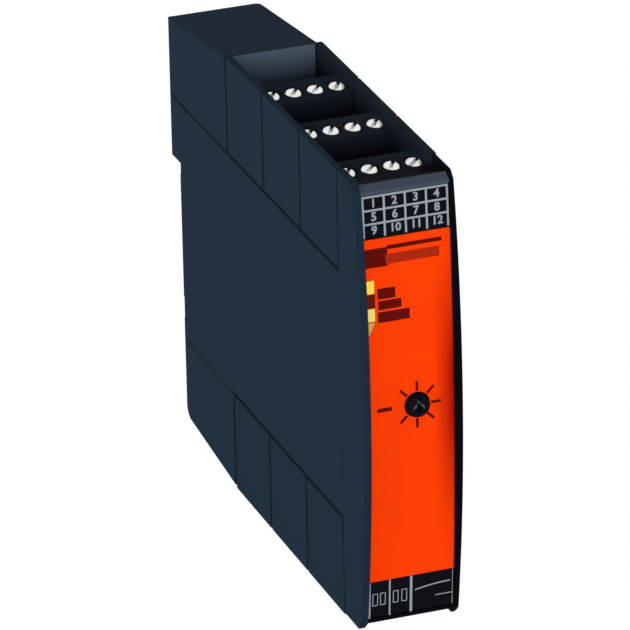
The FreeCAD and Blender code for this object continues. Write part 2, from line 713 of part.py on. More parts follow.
def transformer():
    """Iron core round a winding, on the board's upper ear."""
    z1 = rear_half - WALL - 2 * BOARD_MARGIN
    height = RELAY_HEIGHT
    winding = box(board_face, board_face + height, ear_y + CORE_LEG,
                  ear_y + ear_length - CORE_LEG, z1 - TRANSFORMER, z1)
    iron = box(board_face, board_face + height - BOARD, ear_y, ear_y + ear_length,
               z1 - TRANSFORMER + BOARD, z1 - BOARD)
    return iron.fuse(winding).removeSplitter()


def capacitors():
    """Two cans that lie on the board's lower ear."""
    radius = CAPACITOR / 2
    cans = []
    for index in range(2):
        z = -rear_half + WALL + 2 * BOARD_MARGIN + radius + index * (CAPACITOR + BOARD)
        cans.append(front_cylinder(CAPACITOR, ear_y, ear_y + ear_length, board_face + radius, z))
    return cans


def controller_chips():
    y0 = snap_end + relay_length + RELAY_GAP
    z = relay_width / 2 + BOARD
    chips = [box(board_face, board_face + CHIP_HEIGHT, y0, y0 + CHIP, z, z + CHIP)]
    chips.append(box(board_face, board_face + CHIP_HEIGHT, y0, y0 + CHIP, -z - CHIP, -z))
    return chips


def board_connector():
    """Right-angle connector between the two boards."""
    z = -(core - HEADER_HEIGHT) + CONNECTOR_OFF_END
    return box(board_face, board_face + CONNECTOR_HEIGHT, front_board_y,
               front_board_y + CONNECTOR_DEPTH, z, z + CONNECTOR_LENGTH)


# ---------------------------------------------------------------- rail latch
def rail_latch():
    """Slider with a sloped nose behind the rail's lower lip and a slotted tail."""
    slider = latch_channel(0)
    y_lip = RAIL_LIP + RAIL_PLAY
    reach = HOOK_DEPTH - RAIL_PLAY
    nose = [(-LATCH_DEPTH / 2, latch_z), (y_lip, latch_z), (y_lip, latch_z + HOOK_GRIP),
            (y_lip + RAIL_LIP / 2, latch_z + HOOK_GRIP), (reach, latch_z - HOOK_GRIP),
            (reach, latch_z - LATCH_NOSE), (-LATCH_DEPTH / 2, latch_z - LATCH_NOSE - HOOK_GRIP)]
    slim = HOOK_WIDTH / 2 - LATCH_FLANGE
    slider = slider.fuse(side_prism(nose, -slim, slim))
    lug_z = latch_z - LUG_DEPTH_BELOW_RAIL
    half = SPRING / 2 + SPRING_PLAY
    window = box(-half, half, -2 * LATCH_DEPTH, LATCH_DEPTH, lug_z - SPRING_PLAY,
                 lug_z + LUG + SPRING_LENGTH)
    z_slot = -heel_half - LATCH_TAIL / 2
    slot = box(-half, half, -2 * LATCH_DEPTH, LATCH_DEPTH, z_slot - LATCH_TAIL / 4, z_slot)
    return slider.cut(window).cut(slot).removeSplitter()


def latch_spring():
    """Compression spring between the housing's lug and the slider's window."""
    z0 = latch_z - LUG_DEPTH_BELOW_RAIL + LUG
    radius = (SPRING - SPRING_WIRE) / 2
    rise = SPRING_LENGTH - SPRING_WIRE
    path = Part.makeHelix(rise / SPRING_TURNS, rise, radius)
    half = SPRING_WIRE / 2
    corners = [Vector(radius + half * math.cos(turn), 0, half * math.sin(turn))
               for turn in [math.radians(60 * i) for i in range(7)]]
    coil = Part.Wire(path.Edges).makePipeShell([Part.makePolygon(corners)], True, True)
    return moved(coil, 0, -LATCH_DEPTH / 2, z0 + SPRING_WIRE / 2)


# ---------------------------------------------------------------- assembly
def placed(shape, index, row):
    """A part of the front upper block, moved to its place in the upper or lower row."""
    copy = moved(shape, y=index * block_step)
    if row == "bottom":
        copy.rotate(Vector(0, 0, 0), Vector(0, 1, 0), 180)
    return copy


def solids_of(item):
    shapes = item if isinstance(item, list) else [item]
    return [solid for shape in shapes for solid in shape.Solids]


def nodes():
    parts = {
        "housing": housing(),
        "side_cover": side_cover(),
        "front_frame": front_frame(),
        "front_panel": front_panel(),
        "marking_strip_top": label_piece(panel_top, label_end),
        "marking_strip_bottom": label_piece(-label_end, panel_bottom),
        "light_guides": light_guides(),
        "indicator_leds": indicator_leds(),
        "selector_knob": selector_knob(),
        "rotary_switch": rotary_switch(),
        "main_board": main_board(),
        "front_board": front_board(),
        "board_connector": board_connector(),
        "transformer": transformer(),
        "capacitors": capacitors(),
        "controller_chips": controller_chips(),
        "rail_latch": rail_latch(),
        "latch_spring": latch_spring(),
    }
    for index, body in enumerate(relays()):
        parts[f"relay_{index + 1}"] = body
    for row in ("top", "bottom"):
        for index in range(BLOCKS):
            place = f"{row}_{index + 1}"
            for name, made in (("terminal_body", [terminal_body()]),
                               ("terminal_screws", terminal_screws()),
                               ("terminal_clamps", terminal_clamps()),
                               ("header_strip", [header_strip()]),
                               ("header_pins", header_pins())):
                parts[f"{name}_{place}"] = [placed(shape, index, row) for shape in made]
    return parts


os.makedirs("parts", exist_ok=True)
for name, item in nodes().items():
    solids = solids_of(item)
    shape = solids[0] if len(solids) == 1 else Part.makeCompound(solids)
    shape = moved(shape, z=MID_ABOVE_RAIL)
    shape.exportStep(f"parts/{name}.step")
    print(name, len(solids), "solids", round(shape.Volume, 1), "mm3", shape.isValid())
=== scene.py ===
import json
import math

import bmesh
import bpy
from bpy.props import FloatProperty, FloatVectorProperty, IntProperty, PointerProperty
from mathutils import Matrix, Vector


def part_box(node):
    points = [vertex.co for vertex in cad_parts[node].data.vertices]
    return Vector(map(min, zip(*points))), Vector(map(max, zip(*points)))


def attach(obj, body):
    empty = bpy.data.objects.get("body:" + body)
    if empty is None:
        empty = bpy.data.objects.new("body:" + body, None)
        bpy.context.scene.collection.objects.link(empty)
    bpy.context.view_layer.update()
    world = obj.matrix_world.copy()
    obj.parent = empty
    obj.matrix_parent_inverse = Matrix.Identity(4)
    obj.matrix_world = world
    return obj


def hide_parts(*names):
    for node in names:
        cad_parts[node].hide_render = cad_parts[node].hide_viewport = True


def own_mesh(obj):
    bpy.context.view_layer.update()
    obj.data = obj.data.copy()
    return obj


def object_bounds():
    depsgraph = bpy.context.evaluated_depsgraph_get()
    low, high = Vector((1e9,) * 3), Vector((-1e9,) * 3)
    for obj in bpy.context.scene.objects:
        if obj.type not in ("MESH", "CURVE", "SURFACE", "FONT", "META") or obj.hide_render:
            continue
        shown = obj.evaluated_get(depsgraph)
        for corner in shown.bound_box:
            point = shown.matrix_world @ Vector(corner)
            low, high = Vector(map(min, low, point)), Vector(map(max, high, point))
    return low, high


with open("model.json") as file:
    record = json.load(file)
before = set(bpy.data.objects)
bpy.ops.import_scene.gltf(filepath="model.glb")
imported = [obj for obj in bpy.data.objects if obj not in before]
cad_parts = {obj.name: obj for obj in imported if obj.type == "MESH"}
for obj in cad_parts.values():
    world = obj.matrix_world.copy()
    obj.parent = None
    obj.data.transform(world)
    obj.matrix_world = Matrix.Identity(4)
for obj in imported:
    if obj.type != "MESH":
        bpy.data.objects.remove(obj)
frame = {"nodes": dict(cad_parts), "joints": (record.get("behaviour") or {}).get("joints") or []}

bl_info = {
    "name": "Safety relay finish",
    "version": (1, 0, 0),
    "blender": (4, 5, 0),
    "location": "View3D > Sidebar > Relay",
    "description": "Finishes, prints and screws of a rail-mounted safety relay",
    "category": "Object",
}

MM = 0.001
ROWS = ("top", "bottom")
BLOCKS = (1, 2, 3)
SCREWS = 4                                              # in each block
CAD_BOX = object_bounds()


# ---------------------------------------------------------------- places taken from the frame
def box_mm(node):
    """Low and high corner of a CAD node, in mm."""
    low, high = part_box(node)
    return low / MM, high / MM


PANEL_LOW, PANEL_HIGH = box_mm("front_panel")
STRIP_TOP_LOW, STRIP_TOP_HIGH = box_mm("marking_strip_top")
STRIP_BOTTOM_LOW, STRIP_BOTTOM_HIGH = box_mm("marking_strip_bottom")
KNOB_LOW, KNOB_HIGH = box_mm("selector_knob")
GUIDES_TOP = box_mm("light_guides")[1].z
BLOCK_Y = box_mm("terminal_body_top_1")[0].y            # front end of the terminal blocks
STEP_Y = box_mm("terminal_body_top_3")[1].y             # rear end of the terminal blocks
BLOCK_STEP = box_mm("terminal_body_top_2")[0].y - BLOCK_Y
CORE_Z = box_mm("terminal_body_top_3")[0].z             # lower end of the upper blocks
DECK_DROP = 9.0                                         # from a block's top to under its deck
DECK_Z = box_mm("terminal_body_top_3")[1].z - DECK_DROP
SPRING_LOW, SPRING_HIGH = box_mm("latch_spring")
SIDE_X = CAD_BOX[1].x / MM                              # the part's right-hand side

MID_Z = (STRIP_TOP_HIGH.z + STRIP_BOTTOM_LOW.z) / 2     # the housing's mid-height
LABEL_HALF = (STRIP_TOP_HIGH.z - STRIP_BOTTOM_LOW.z) / 2
LABEL_MID_Y = PANEL_LOW.y


def mesh_front_y(node, z):
    """Front of a node, in mm, at the vertices nearest to one height."""
    rows = [v.co / MM for v in frame["nodes"][node].data.vertices]
    near = min(abs(co.z - z) for co in rows) + 0.01
    return min(co.y for co in rows if abs(co.z - z) < near)


def lowest_window_z():
    """Lower end of the lowest signal window, where the guides meet the panel's face."""
    rows = [v.co / MM for v in frame["nodes"]["light_guides"].data.vertices]
    return min(co.z for co in rows if co.y < LABEL_MID_Y + LABEL_SAG)


LABEL_SAG = mesh_front_y("marking_strip_top", STRIP_TOP_HIGH.z) - LABEL_MID_Y
LABEL_RADIUS = (LABEL_HALF ** 2 + LABEL_SAG ** 2) / (2 * LABEL_SAG)
KNOB_X = (KNOB_LOW.x + KNOB_HIGH.x) / 2
KNOB_Z = (KNOB_LOW.z + KNOB_HIGH.z) / 2
LATCH_TRAVEL = max(next(joint["range_m"] for joint in frame["joints"]
                        if joint["name"] == "latch_slide")) / MM

# sizes that aren't the user's to change, in mm
BLOCK_PLAY = 0.2            # between neighbouring blocks, and behind the last
SEAM_SHADE_HALF = 0.45            # half the width of the painted shade along a seam round a block
SKIN = 0.05                 # how deep the shade of an outer side goes
STRIP_MARGIN = 0.35         # between a marking strip's edge and its lines
STRIP_ROWS = 3              # of numbers on the upper strip
FIGURE_EM = 1.35            # font size that gives a figure a height of 1
SCREW_TILT = math.radians(15.0)
SCREW_LENGTH = 12.0
THREAD_RADIUS, THREAD_ROOT, THREAD_PITCH = 1.45, 1.22, 0.5
THREADS = 18
SPRING_WIRE, SPRING_TURNS = 0.39, 5
CAMERA_CENTRE = Vector((0, -55, 3.5))
CAMERA_ACROSS, CAMERA_UP = 0.31, -2.35      # from there, in the camera's own directions
LAMP_SIZE = 1.2                             # side of each lamp, in metres


def label_y(z):
    """Front of the curved labels, in mm, at a height in mm."""
    return LABEL_MID_Y + LABEL_RADIUS - math.sqrt(LABEL_RADIUS ** 2 - (z - MID_Z) ** 2)


# ---------------------------------------------------------------- sizes and colours a user may change
def colour(name, description, default):
    return FloatVectorProperty(name=name, description=description, default=default, size=3,
                               min=0.0, max=1.0, subtype="COLOR")


def length(name, description, default):
    return FloatProperty(name=name, description=description, default=default, min=0.0,
                         unit="LENGTH", subtype="DISTANCE")


class RelayFinishes(bpy.types.PropertyGroup):
    housing: colour("Housing", "Slate grey of the housing and the blocks' cheeks",
                    (0.0100, 0.0205, 0.0350))
    # black plastic of the knob, switch, header, connector and latch, and painted shade where the
    # frame's inside and the side cover's top are painted this black
    black_and_painted_shade: colour("Black and painted shade", "Black of the terminal decks and the front frame",
                   (0.0024, 0.0030, 0.0046))
    # painted shade: the blocks are painted this darker colour between their slate outer sides
    deck_painted_shade: colour("Deck painted shade", "Black of the terminal decks", (0.012, 0.016, 0.024))
    # painted light: the step's front face is painted this paler grey
    step: colour("Step", "Paler grey of the step behind the terminal blocks",
                 (0.066, 0.096, 0.132))
    # painted light: the frame's band over the labels and the knob's chevron are painted this paler
    # grey
    band: colour("Frame band", "Paler grey of the frame above the labels",
                 (0.050, 0.062, 0.085))
    panel: colour("Panel", "Orange of the front panel", (0.82, 0.043, 0.001))
    # painted shade: the deeper red painted along the panel's right edge
    panel_painted_shade: colour("Panel edge painted shade", "Deeper red along the panel's right edge",
                       (0.38, 0.003, 0.001))
    marking: colour("Marking strips", "Black of the marking strips", (0.004, 0.005, 0.007))
    print_light: colour("Light print", "Grey of numbers and lines on the strips",
                        (0.27, 0.30, 0.34))
    print_dark: colour("Dark print", "Dark red of the scale on the panel", (0.10, 0.004, 0.002))
    print_mid: colour("Paler print", "Thinner red of one bar on the panel",
                      (0.34, 0.018, 0.004))
    screw: colour("Screws", "Bright plated steel", (0.98, 0.98, 0.97))


class RelayPrint(bpy.types.PropertyGroup):
    line: length("Line", "Width of the lines between the markings", 0.00045)
    figure: length("Figure", "Height of the terminal numbers", 0.0019)
    weight: length("Weight", "Extra thickness of the numbers' strokes", 0.00007)
    tick: length("Tick", "Length of a scale tick", 0.0022)
    tick_gap: length("Tick gap", "From the selector to the ticks", 0.0006)
    tick_width: length("Tick width", "Width of a scale tick", 0.0006)
    lift: length("Lift", "Thickness of the printed ink", 0.00003)


class RelayScrews(bpy.types.PropertyGroup):
    pitch: length("Pitch", "Distance between two screws of a block", 0.005)
    head: length("Head", "Diameter of the screw head", 0.0038)
    edge: length("Edge", "Chamfer of the head", 0.00015)
    slot: length("Slot", "Width of the screwdriver slot", 0.00075)
    turn: FloatProperty(name="Turn", description="Mean angle of the slots", subtype="ANGLE",
                        default=math.radians(49.0))
    spread: FloatProperty(name="Spread", description="Largest turn away from the mean",
                          subtype="ANGLE", default=math.radians(11.0))
    seed: IntProperty(name="Seed", description="Seed of the slots' angles", default=4)


class RelayStage(bpy.types.PropertyGroup):
    side: FloatProperty(name="Side light", description="Irradiance from the left",
                        default=0.76, min=0.0)
    front: FloatProperty(name="Front light", description="Irradiance from the front",
                         default=0.76, min=0.0)
    fill: FloatProperty(name="Fill light", description="Irradiance from the right rear",
                        default=0.7, min=0.0)
    top: FloatProperty(name="Top light", description="Irradiance from above", default=0.06,
                       min=0.0)
    ambient: FloatProperty(name="Ambient", description="Level of the surrounding light",
                           default=0.27, min=0.0)
    azimuth: FloatProperty(name="Azimuth", description="Camera round the part",
                           subtype="ANGLE", default=math.radians(-19.90))
    elevation: FloatProperty(name="Elevation", description="Camera above the horizon",
                             subtype="ANGLE", default=math.radians(24.00))
    roll: FloatProperty(name="Roll", description="Camera about its own axis", subtype="ANGLE",
                        default=math.radians(-1.20))
    distance: length("Distance", "Camera from the part", 1.5)
    lens: FloatProperty(name="Lens", description="Focal length", default=391.7,
                        unit="CAMERA")


GROUPS = (
    ("relay_finishes", RelayFinishes),
    ("relay_print", RelayPrint),
    ("relay_screws", RelayScrews),
    ("relay_stage", RelayStage),
)


# ---------------------------------------------------------------- shader maths
class Value:
    """An output among shader nodes, on which sums are written as Python expressions."""

    def __init__(self, nodes, socket):
        self.nodes = nodes
        self.socket = socket

    def maths(self, operation, first, second=0.0):
        return self.nodes.node("ShaderNodeMath", {"operation": operation},
                                {0: first, 1: second})

    def __add__(self, other):
        return self.maths("ADD", self, other)

    def __sub__(self, other):
        return self.maths("SUBTRACT", self, other)

    def __rsub__(self, other):
        return self.maths("SUBTRACT", other, self)

    def __mul__(self, other):
        return self.maths("MULTIPLY", self, other)

    def __truediv__(self, other):
        return self.maths("DIVIDE", self, other)

    def __gt__(self, other):
        return self.maths("GREATER_THAN", self, other)

    def __lt__(self, other):
        return self.maths("LESS_THAN", self, other)

    def __abs__(self):
        return self.maths("ABSOLUTE", self)

    def fraction(self):
        return self.maths("FRACT", self)

    def clamped(self):
        return self.nodes.node("ShaderNodeClamp", {}, {"Value": self})

    __radd__ = __add__
    __rmul__ = __mul__


class Shading:
    """The shader nodes of a material or a world, all made by one method."""

    def __init__(self, owner):
        owner.use_nodes = True
        self.tree = owner.node_tree
        self.tree.nodes.clear()

    def node(self, kind, settings, inputs, output=0):
        """One node: its settings first, then the values or links of its sockets."""
        made = self.tree.nodes.new(kind)
        for key, value in settings.items():
            if key == "stops":
                self.set_stops(made.color_ramp, value)
            else:
                setattr(made, key, value)
        for key, value in inputs.items():
            if isinstance(value, Value):
                self.tree.links.new(value.socket, made.inputs[key])
            else:
                made.inputs[key].default_value = value
        return Value(self, made.outputs[output]) if len(made.outputs) else made

    @staticmethod
    def set_stops(ramp, stops):
        """Sharp bands, each from its own position upwards."""
        ramp.interpolation = "CONSTANT"
        while len(ramp.elements) < len(stops):
            ramp.elements.new(0.5)
        for element, (position, shade) in zip(ramp.elements, stops):
            element.position = position
            element.color = (*shade, 1.0)

    def looked_at(self):
        """1 for rays that look at something straight, in a gloss or through glass."""
        rays = [self.node("ShaderNodeLightPath", {}, {}, f"Is {kind} Ray")
                for kind in ("Camera", "Glossy", "Transmission")]
        return sum(rays[1:], rays[0]).clamped()


class Finish(Shading):
    """A material with the patterns and the surface that this relay's finishes share."""

    def __init__(self, name):
        self.material = bpy.data.materials.new(name)
        super().__init__(self.material)
        self.place = self.node("ShaderNodeTexCoord", {}, {}, "Object")

    def along(self, axis):
        """A coordinate of the surface, in mm."""
        return self.node("ShaderNodeSeparateXYZ", {}, {0: self.place}, axis) * (1 / MM)

    def noise(self, size, detail=2.0, roughness=0.5):
        """Noise from 0 to 1 whose blotches are about size mm across."""
        return self.node("ShaderNodeTexNoise", {},
                         {"Vector": self.place, "Scale": 1 / (size * MM), "Detail": detail,
                          "Roughness": roughness})

    def cells(self, size):
        """Cells about size mm across."""
        return self.node("ShaderNodeTexVoronoi", {}, {"Vector": self.place,
                                                      "Scale": 1 / (size * MM)})

    def moulding(self, grain=0.16):
        """Faint clouds, eroded pits, and the tone that both give."""
        clouds = self.noise(14.0, 3.0)
        pits = self.noise(grain, 2.0, 0.6)
        return clouds, pits, (clouds * 0.7 + pits * 0.3).clamped()

    def mix(self, share, first, second):
        """A colour between two colours."""
        first, second = (c if isinstance(c, Value) else (*c, 1.0) for c in (first, second))
        return self.node("ShaderNodeMix", {"data_type": "RGBA"}, {0: share, 6: first, 7: second},
                         2)

    def seam_shaded(self, shade, seam_shade):
        """The colour, with painted shade where the seam mask is 1."""
        return self.mix(seam_shade * 0.42, shade, (0.0, 0.0, 0.0))

    def shaded(self, shade, low, high, share):
        """The same colour, from low times to high times its strength."""
        return self.mix(share, [c * low for c in shade], [c * high for c in shade])

    def relief(self, height, depth, edge=0.0):
        """Normal with a bump depth mm deep, and with edges softened over edge mm."""
        inputs = {"Height": height, "Distance": depth * MM, "Strength": 1.0}
        if edge:
            inputs["Normal"] = self.node("ShaderNodeBevel", {"samples": 4}, {"Radius": edge * MM})
        return self.node("ShaderNodeBump", {}, inputs)

    def surface(self, **inputs):
        """The material, from the shader's inputs written with underscores."""
        names = {key.replace("_", " "): value for key, value in inputs.items()}
        for key in ("Base Color", "Emission Color", "Coat Tint", "Specular Tint"):
            if key in names and not isinstance(names[key], Value):
                names[key] = (*names[key], 1.0)
        shader = self.node("ShaderNodeBsdfPrincipled", {}, names)
        self.node("ShaderNodeOutputMaterial", {}, {"Surface": shader})
        return self.material


# ---------------------------------------------------------------- finishes
def moulded(name, shade, grain=0.16, depth=0.010, roughness=0.55, specular=0.004,
            edge=0.25, painted_inner_shade=None, left_edge=0.35, seam_shaded=False):
    """Moulded plastic with an eroded grain and faint clouds; where a second, darker colour is
    given, it is painted shade between the two outer sides."""
    finish = Finish(name)
    clouds, pits, tone = finish.moulding(grain)
    base = finish.shaded(shade, 0.86, 1.14, tone)
    if painted_inner_shade is not None:
        x = finish.along("X")
        # outer sides keep the slate; between them the darker colour is painted shade
        shell = ((x < left_edge - SIDE_X) + (x > SIDE_X - SKIN)).clamped()
        # painted shade along the seams round each block
        if seam_shaded:
            base = finish.seam_shaded(base, block_seam_shade(finish))
        base = finish.mix(shell, finish.shaded(painted_inner_shade, 0.8, 1.2, tone), base)
    return finish.surface(Base_Color=base, Roughness=(clouds * 0.10 + (roughness - 0.05)),
                          Specular_IOR_Level=specular,
                          Normal=finish.relief(pits, depth, edge))


def block_seam_shade(finish):
    """Mask of the painted shade along the seam round each terminal block."""
    along = ((finish.along("Y") - (BLOCK_Y - BLOCK_PLAY / 2)) / BLOCK_STEP).fraction()
    upright = abs(along - 0.5) > 0.5 - (SEAM_SHADE_HALF + BLOCK_PLAY / 2) / BLOCK_STEP
    level = abs(finish.along("Z") - MID_Z) < CORE_Z - MID_Z + SEAM_SHADE_HALF
    return (upright + level).clamped()


def housing_plastic_painted_light(name, slate, pale):
    """Slate plastic, paler and smoother on the step behind the terminal blocks, where the paler
    colour is painted light, with painted shade along each seam.
    """
    finish = Finish(name)
    _, pits, tone = finish.moulding()
    y, z = finish.along("Y"), finish.along("Z")
    wall = 0.4                              # stays slate at the outer sides
    # mask of the painted light on the step's front face
    step = ((abs(y - (STEP_Y + BLOCK_PLAY)) < BLOCK_PLAY / 2) * (z > DECK_Z)
            * (abs(finish.along("X")) < SIDE_X - wall))
    height = abs(z - MID_Z)
    # painted shade along the seams at the blocks' level and behind the step
    seam_shade = ((abs(height - (CORE_Z - MID_Z)) < SEAM_SHADE_HALF)
             + (abs(y - (STEP_Y + 2 * BLOCK_PLAY)) < SEAM_SHADE_HALF) * (height > CORE_Z - MID_Z))
    base = finish.seam_shaded(finish.shaded(slate, 0.86, 1.14, tone), seam_shade.clamped())
    base = finish.mix(step, base, finish.shaded(pale, 0.9, 1.1, tone))
    return finish.surface(Base_Color=base, Roughness=(tone * 0.1 + 0.5),
                          Specular_IOR_Level=0.004, Normal=finish.relief(pits, 0.010, 0.25))


def frame_plastic_painted_light(name, slate, black, band):
    """The front frame: slate outside and on its left rim, black within as painted shade, paler over
    the labels as painted light.
    """
    finish = Finish(name)
    _, pits, tone = finish.moulding()
    x, z = finish.along("X"), finish.along("Z")
    band_depth, band_gap = 1.8, 0.1         # reach of the painted light band to the rear, and its gap over the strip
    # slate on the outer sides and the left rim; the black within is painted shade
    outside = ((x > SIDE_X - SKIN) + (x < PANEL_LOW.x - SKIN)).clamped()
    chamfer = finish.along("Y") < LABEL_MID_Y + LABEL_SAG + band_depth
    # mask of the painted light band over the labels
    above = (z > MID_Z + LABEL_HALF + band_gap) * chamfer * (x < PANEL_HIGH.x + SKIN)
    base = finish.mix(above, finish.shaded(black, 0.8, 1.2, tone),
                      finish.shaded(band, 0.85, 1.15, tone))
    base = finish.mix(outside, base, finish.shaded(slate, 0.86, 1.14, tone))
    return finish.surface(Base_Color=base, Roughness=(tone * 0.1 + 0.5), Specular_IOR_Level=0.004,
                          Normal=finish.relief(pits, 0.010, 0.25))


def selector_plastic(name, black, painted_pointer_highlight):
    """Black knob whose face carries a faint V-shaped mark that points up, a painted highlight in the
    shape of its arrow.
    """
    finish = Finish(name)
    grain = finish.noise(0.1, 2.0)
    tip, half_line, reach = 0.9, 0.28, 1.3
    across = abs(finish.along("X") - KNOB_X)
    bend = abs(finish.along("Z") - (KNOB_Z + tip) + across)
    # painted highlight in the shape of the knob's arrow
    chevron_highlight = (bend < half_line) * (across < reach)
    base = finish.mix(chevron_highlight, finish.shaded(black, 0.8, 1.2, grain), painted_pointer_highlight)
    return finish.surface(Base_Color=base, Roughness=(grain * 0.1 + 0.38),
                          Specular_IOR_Level=0.03, Normal=finish.relief(grain, 0.004, 0.1))


def panel_sheet_painted_shade(name, shade, painted_edge_shade):
    """Printed polyester front panel: orange, with painted shade in a deeper red along its right edge,
    smooth and glossy.
    """
    finish = Finish(name)
    grain = finish.noise(0.12, 1.0)
    clouds = finish.noise(11.0, 2.0)
    painted_shade_width, reach = 4.5, 26.0                 # width of the painted shade along the right edge, and its half height
    # painted shade: deeper red towards the right edge, fading out up and down
    across = ((finish.along("X") - (PANEL_HIGH.x - painted_shade_width)) / painted_shade_width).clamped()
    middle = (1.25 - abs(finish.along("Z") - (MID_Z + 2.0)) / reach).clamped()
    base = finish.mix(across * middle, finish.shaded(shade, 0.95, 1.03, clouds), painted_edge_shade)
    return finish.surface(Base_Color=base, Roughness=(clouds * 0.08 + 0.34),
                          Specular_IOR_Level=0.01,
                          Normal=finish.relief(grain, 0.004, 0.12))


def ink(name, shade):
    """Screen-printed ink with the small gaps of its mesh."""
    finish = Finish(name)
    mesh = finish.noise(0.09, 1.0)
    wear = finish.noise(1.3, 3.0)
    base = finish.shaded(shade, 0.75, 1.2, (mesh * 0.5 + wear * 0.5).clamped())
    return finish.surface(Base_Color=base, Roughness=(wear * 0.1 + 0.5),
                          Specular_IOR_Level=0.01, Normal=finish.relief(mesh, 0.003))


def plated(name, shade, roughness=0.26, metallic=1.0, drawn=0.05, dullest=0.80):
    """Plated or drawn metal with fine scratches and a little tarnish."""
    finish = Finish(name)
    scratches = finish.noise(drawn, 1.0)
    tarnish = finish.noise(1.6, 3.0)
    base = finish.shaded(shade, dullest, 1.04, tarnish)
    return finish.surface(Base_Color=base, Metallic=metallic,
                          Roughness=(scratches * 0.12 + tarnish * 0.10 + (roughness - 0.1)),
                          Normal=finish.relief(scratches, 0.004, 0.12))


def signal_windows(name):
    """Four tinted windows one above the other; the first and third are lit."""
    finish = Finish(name)
    low = lowest_window_z()
    level = (finish.along("Z") - low) / (GUIDES_TOP - low)
    tints = [(0.0, (0.50, 0.25, 0.042)), (0.24, (0.66, 0.50, 0.12)),
             (0.50, (0.10, 0.006, 0.001)), (0.75, (0.85, 0.52, 0.060))]
    shade = finish.node("ShaderNodeValToRGB", {"stops": tints}, {"Fac": level})
    ribs = finish.noise(0.35, 1.0)
    return finish.surface(Base_Color=shade, Roughness=(ribs * 0.1 + 0.22),
                          Specular_IOR_Level=0.02, Emission_Color=shade,
                          Emission_Strength=0.2,
                          Normal=finish.relief(ribs, 0.01, 0.15))


def circuit_board(name):
    """Green solder mask over traces, with a woven glass grain."""
    finish = Finish(name)
    traces = finish.node("ShaderNodeTexBrick", {"offset": 0.37},
                         {"Vector": finish.node("ShaderNodeMapping", {},
                                                {"Vector": finish.place,
                                                 "Rotation": (math.pi / 2, 0, math.pi / 2)}),
                          "Scale": 140.0, "Mortar Size": 0.035,
                          "Color1": (0.004, 0.075, 0.022, 1), "Color2": (0.004, 0.060, 0.018, 1),
                          "Mortar": (0.02, 0.16, 0.05, 1)}, "Color")
    weave = finish.cells(0.5)
    return finish.surface(Base_Color=traces, Roughness=(weave * 0.2 + 0.3),
                          Normal=finish.relief(weave, 0.01, 0.2))


def wound_coil(name):
    """Copper winding between a transformer's dark iron laminations."""
    finish = Finish(name)
    turns = finish.node("ShaderNodeTexWave", {"bands_direction": "Y"},
                        {"Vector": finish.place, "Scale": 620.0, "Distortion": 0.4}, "Fac")
    base = finish.mix(turns, (0.020, 0.018, 0.017), (0.13, 0.060, 0.028))
    return finish.surface(Base_Color=base, Metallic=turns * 0.7, Roughness=(turns * 0.2 + 0.35),
                          Normal=finish.relief(turns, 0.05, 0.2))


def capacitor_sleeve(name):
    """Shrunk sleeve with a pale stripe."""
    finish = Finish(name)
    reach = 2.2                             # of the stripe, from the sleeves' left side
    stripe = abs(finish.along("X") - box_mm("capacitors")[0].x) < reach
    seam = finish.noise(0.8, 2.0)
    base = finish.mix(stripe, finish.shaded((0.010, 0.016, 0.045), 0.8, 1.2, seam),
                      (0.42, 0.45, 0.48))
    return finish.surface(Base_Color=base, Roughness=(seam * 0.15 + 0.3),
                          Normal=finish.relief(seam, 0.03, 0.4))


# ---------------------------------------------------------------- pieces and plain meshes
def linked(name, data):
    """An object of the scene from its mesh, curve, light or camera."""
    piece = bpy.data.objects.new(name, data)
    bpy.context.scene.collection.objects.link(piece)
    return piece


def plain_mesh(name, maker):
    """What an object's modifiers or curve give, as a mesh; the object is removed."""
    bpy.context.view_layer.update()
    evaluated = maker.evaluated_get(bpy.context.evaluated_depsgraph_get())
    mesh = bpy.data.meshes.new_from_object(evaluated)
    mesh.name = name
    bpy.data.objects.remove(maker)
    return mesh


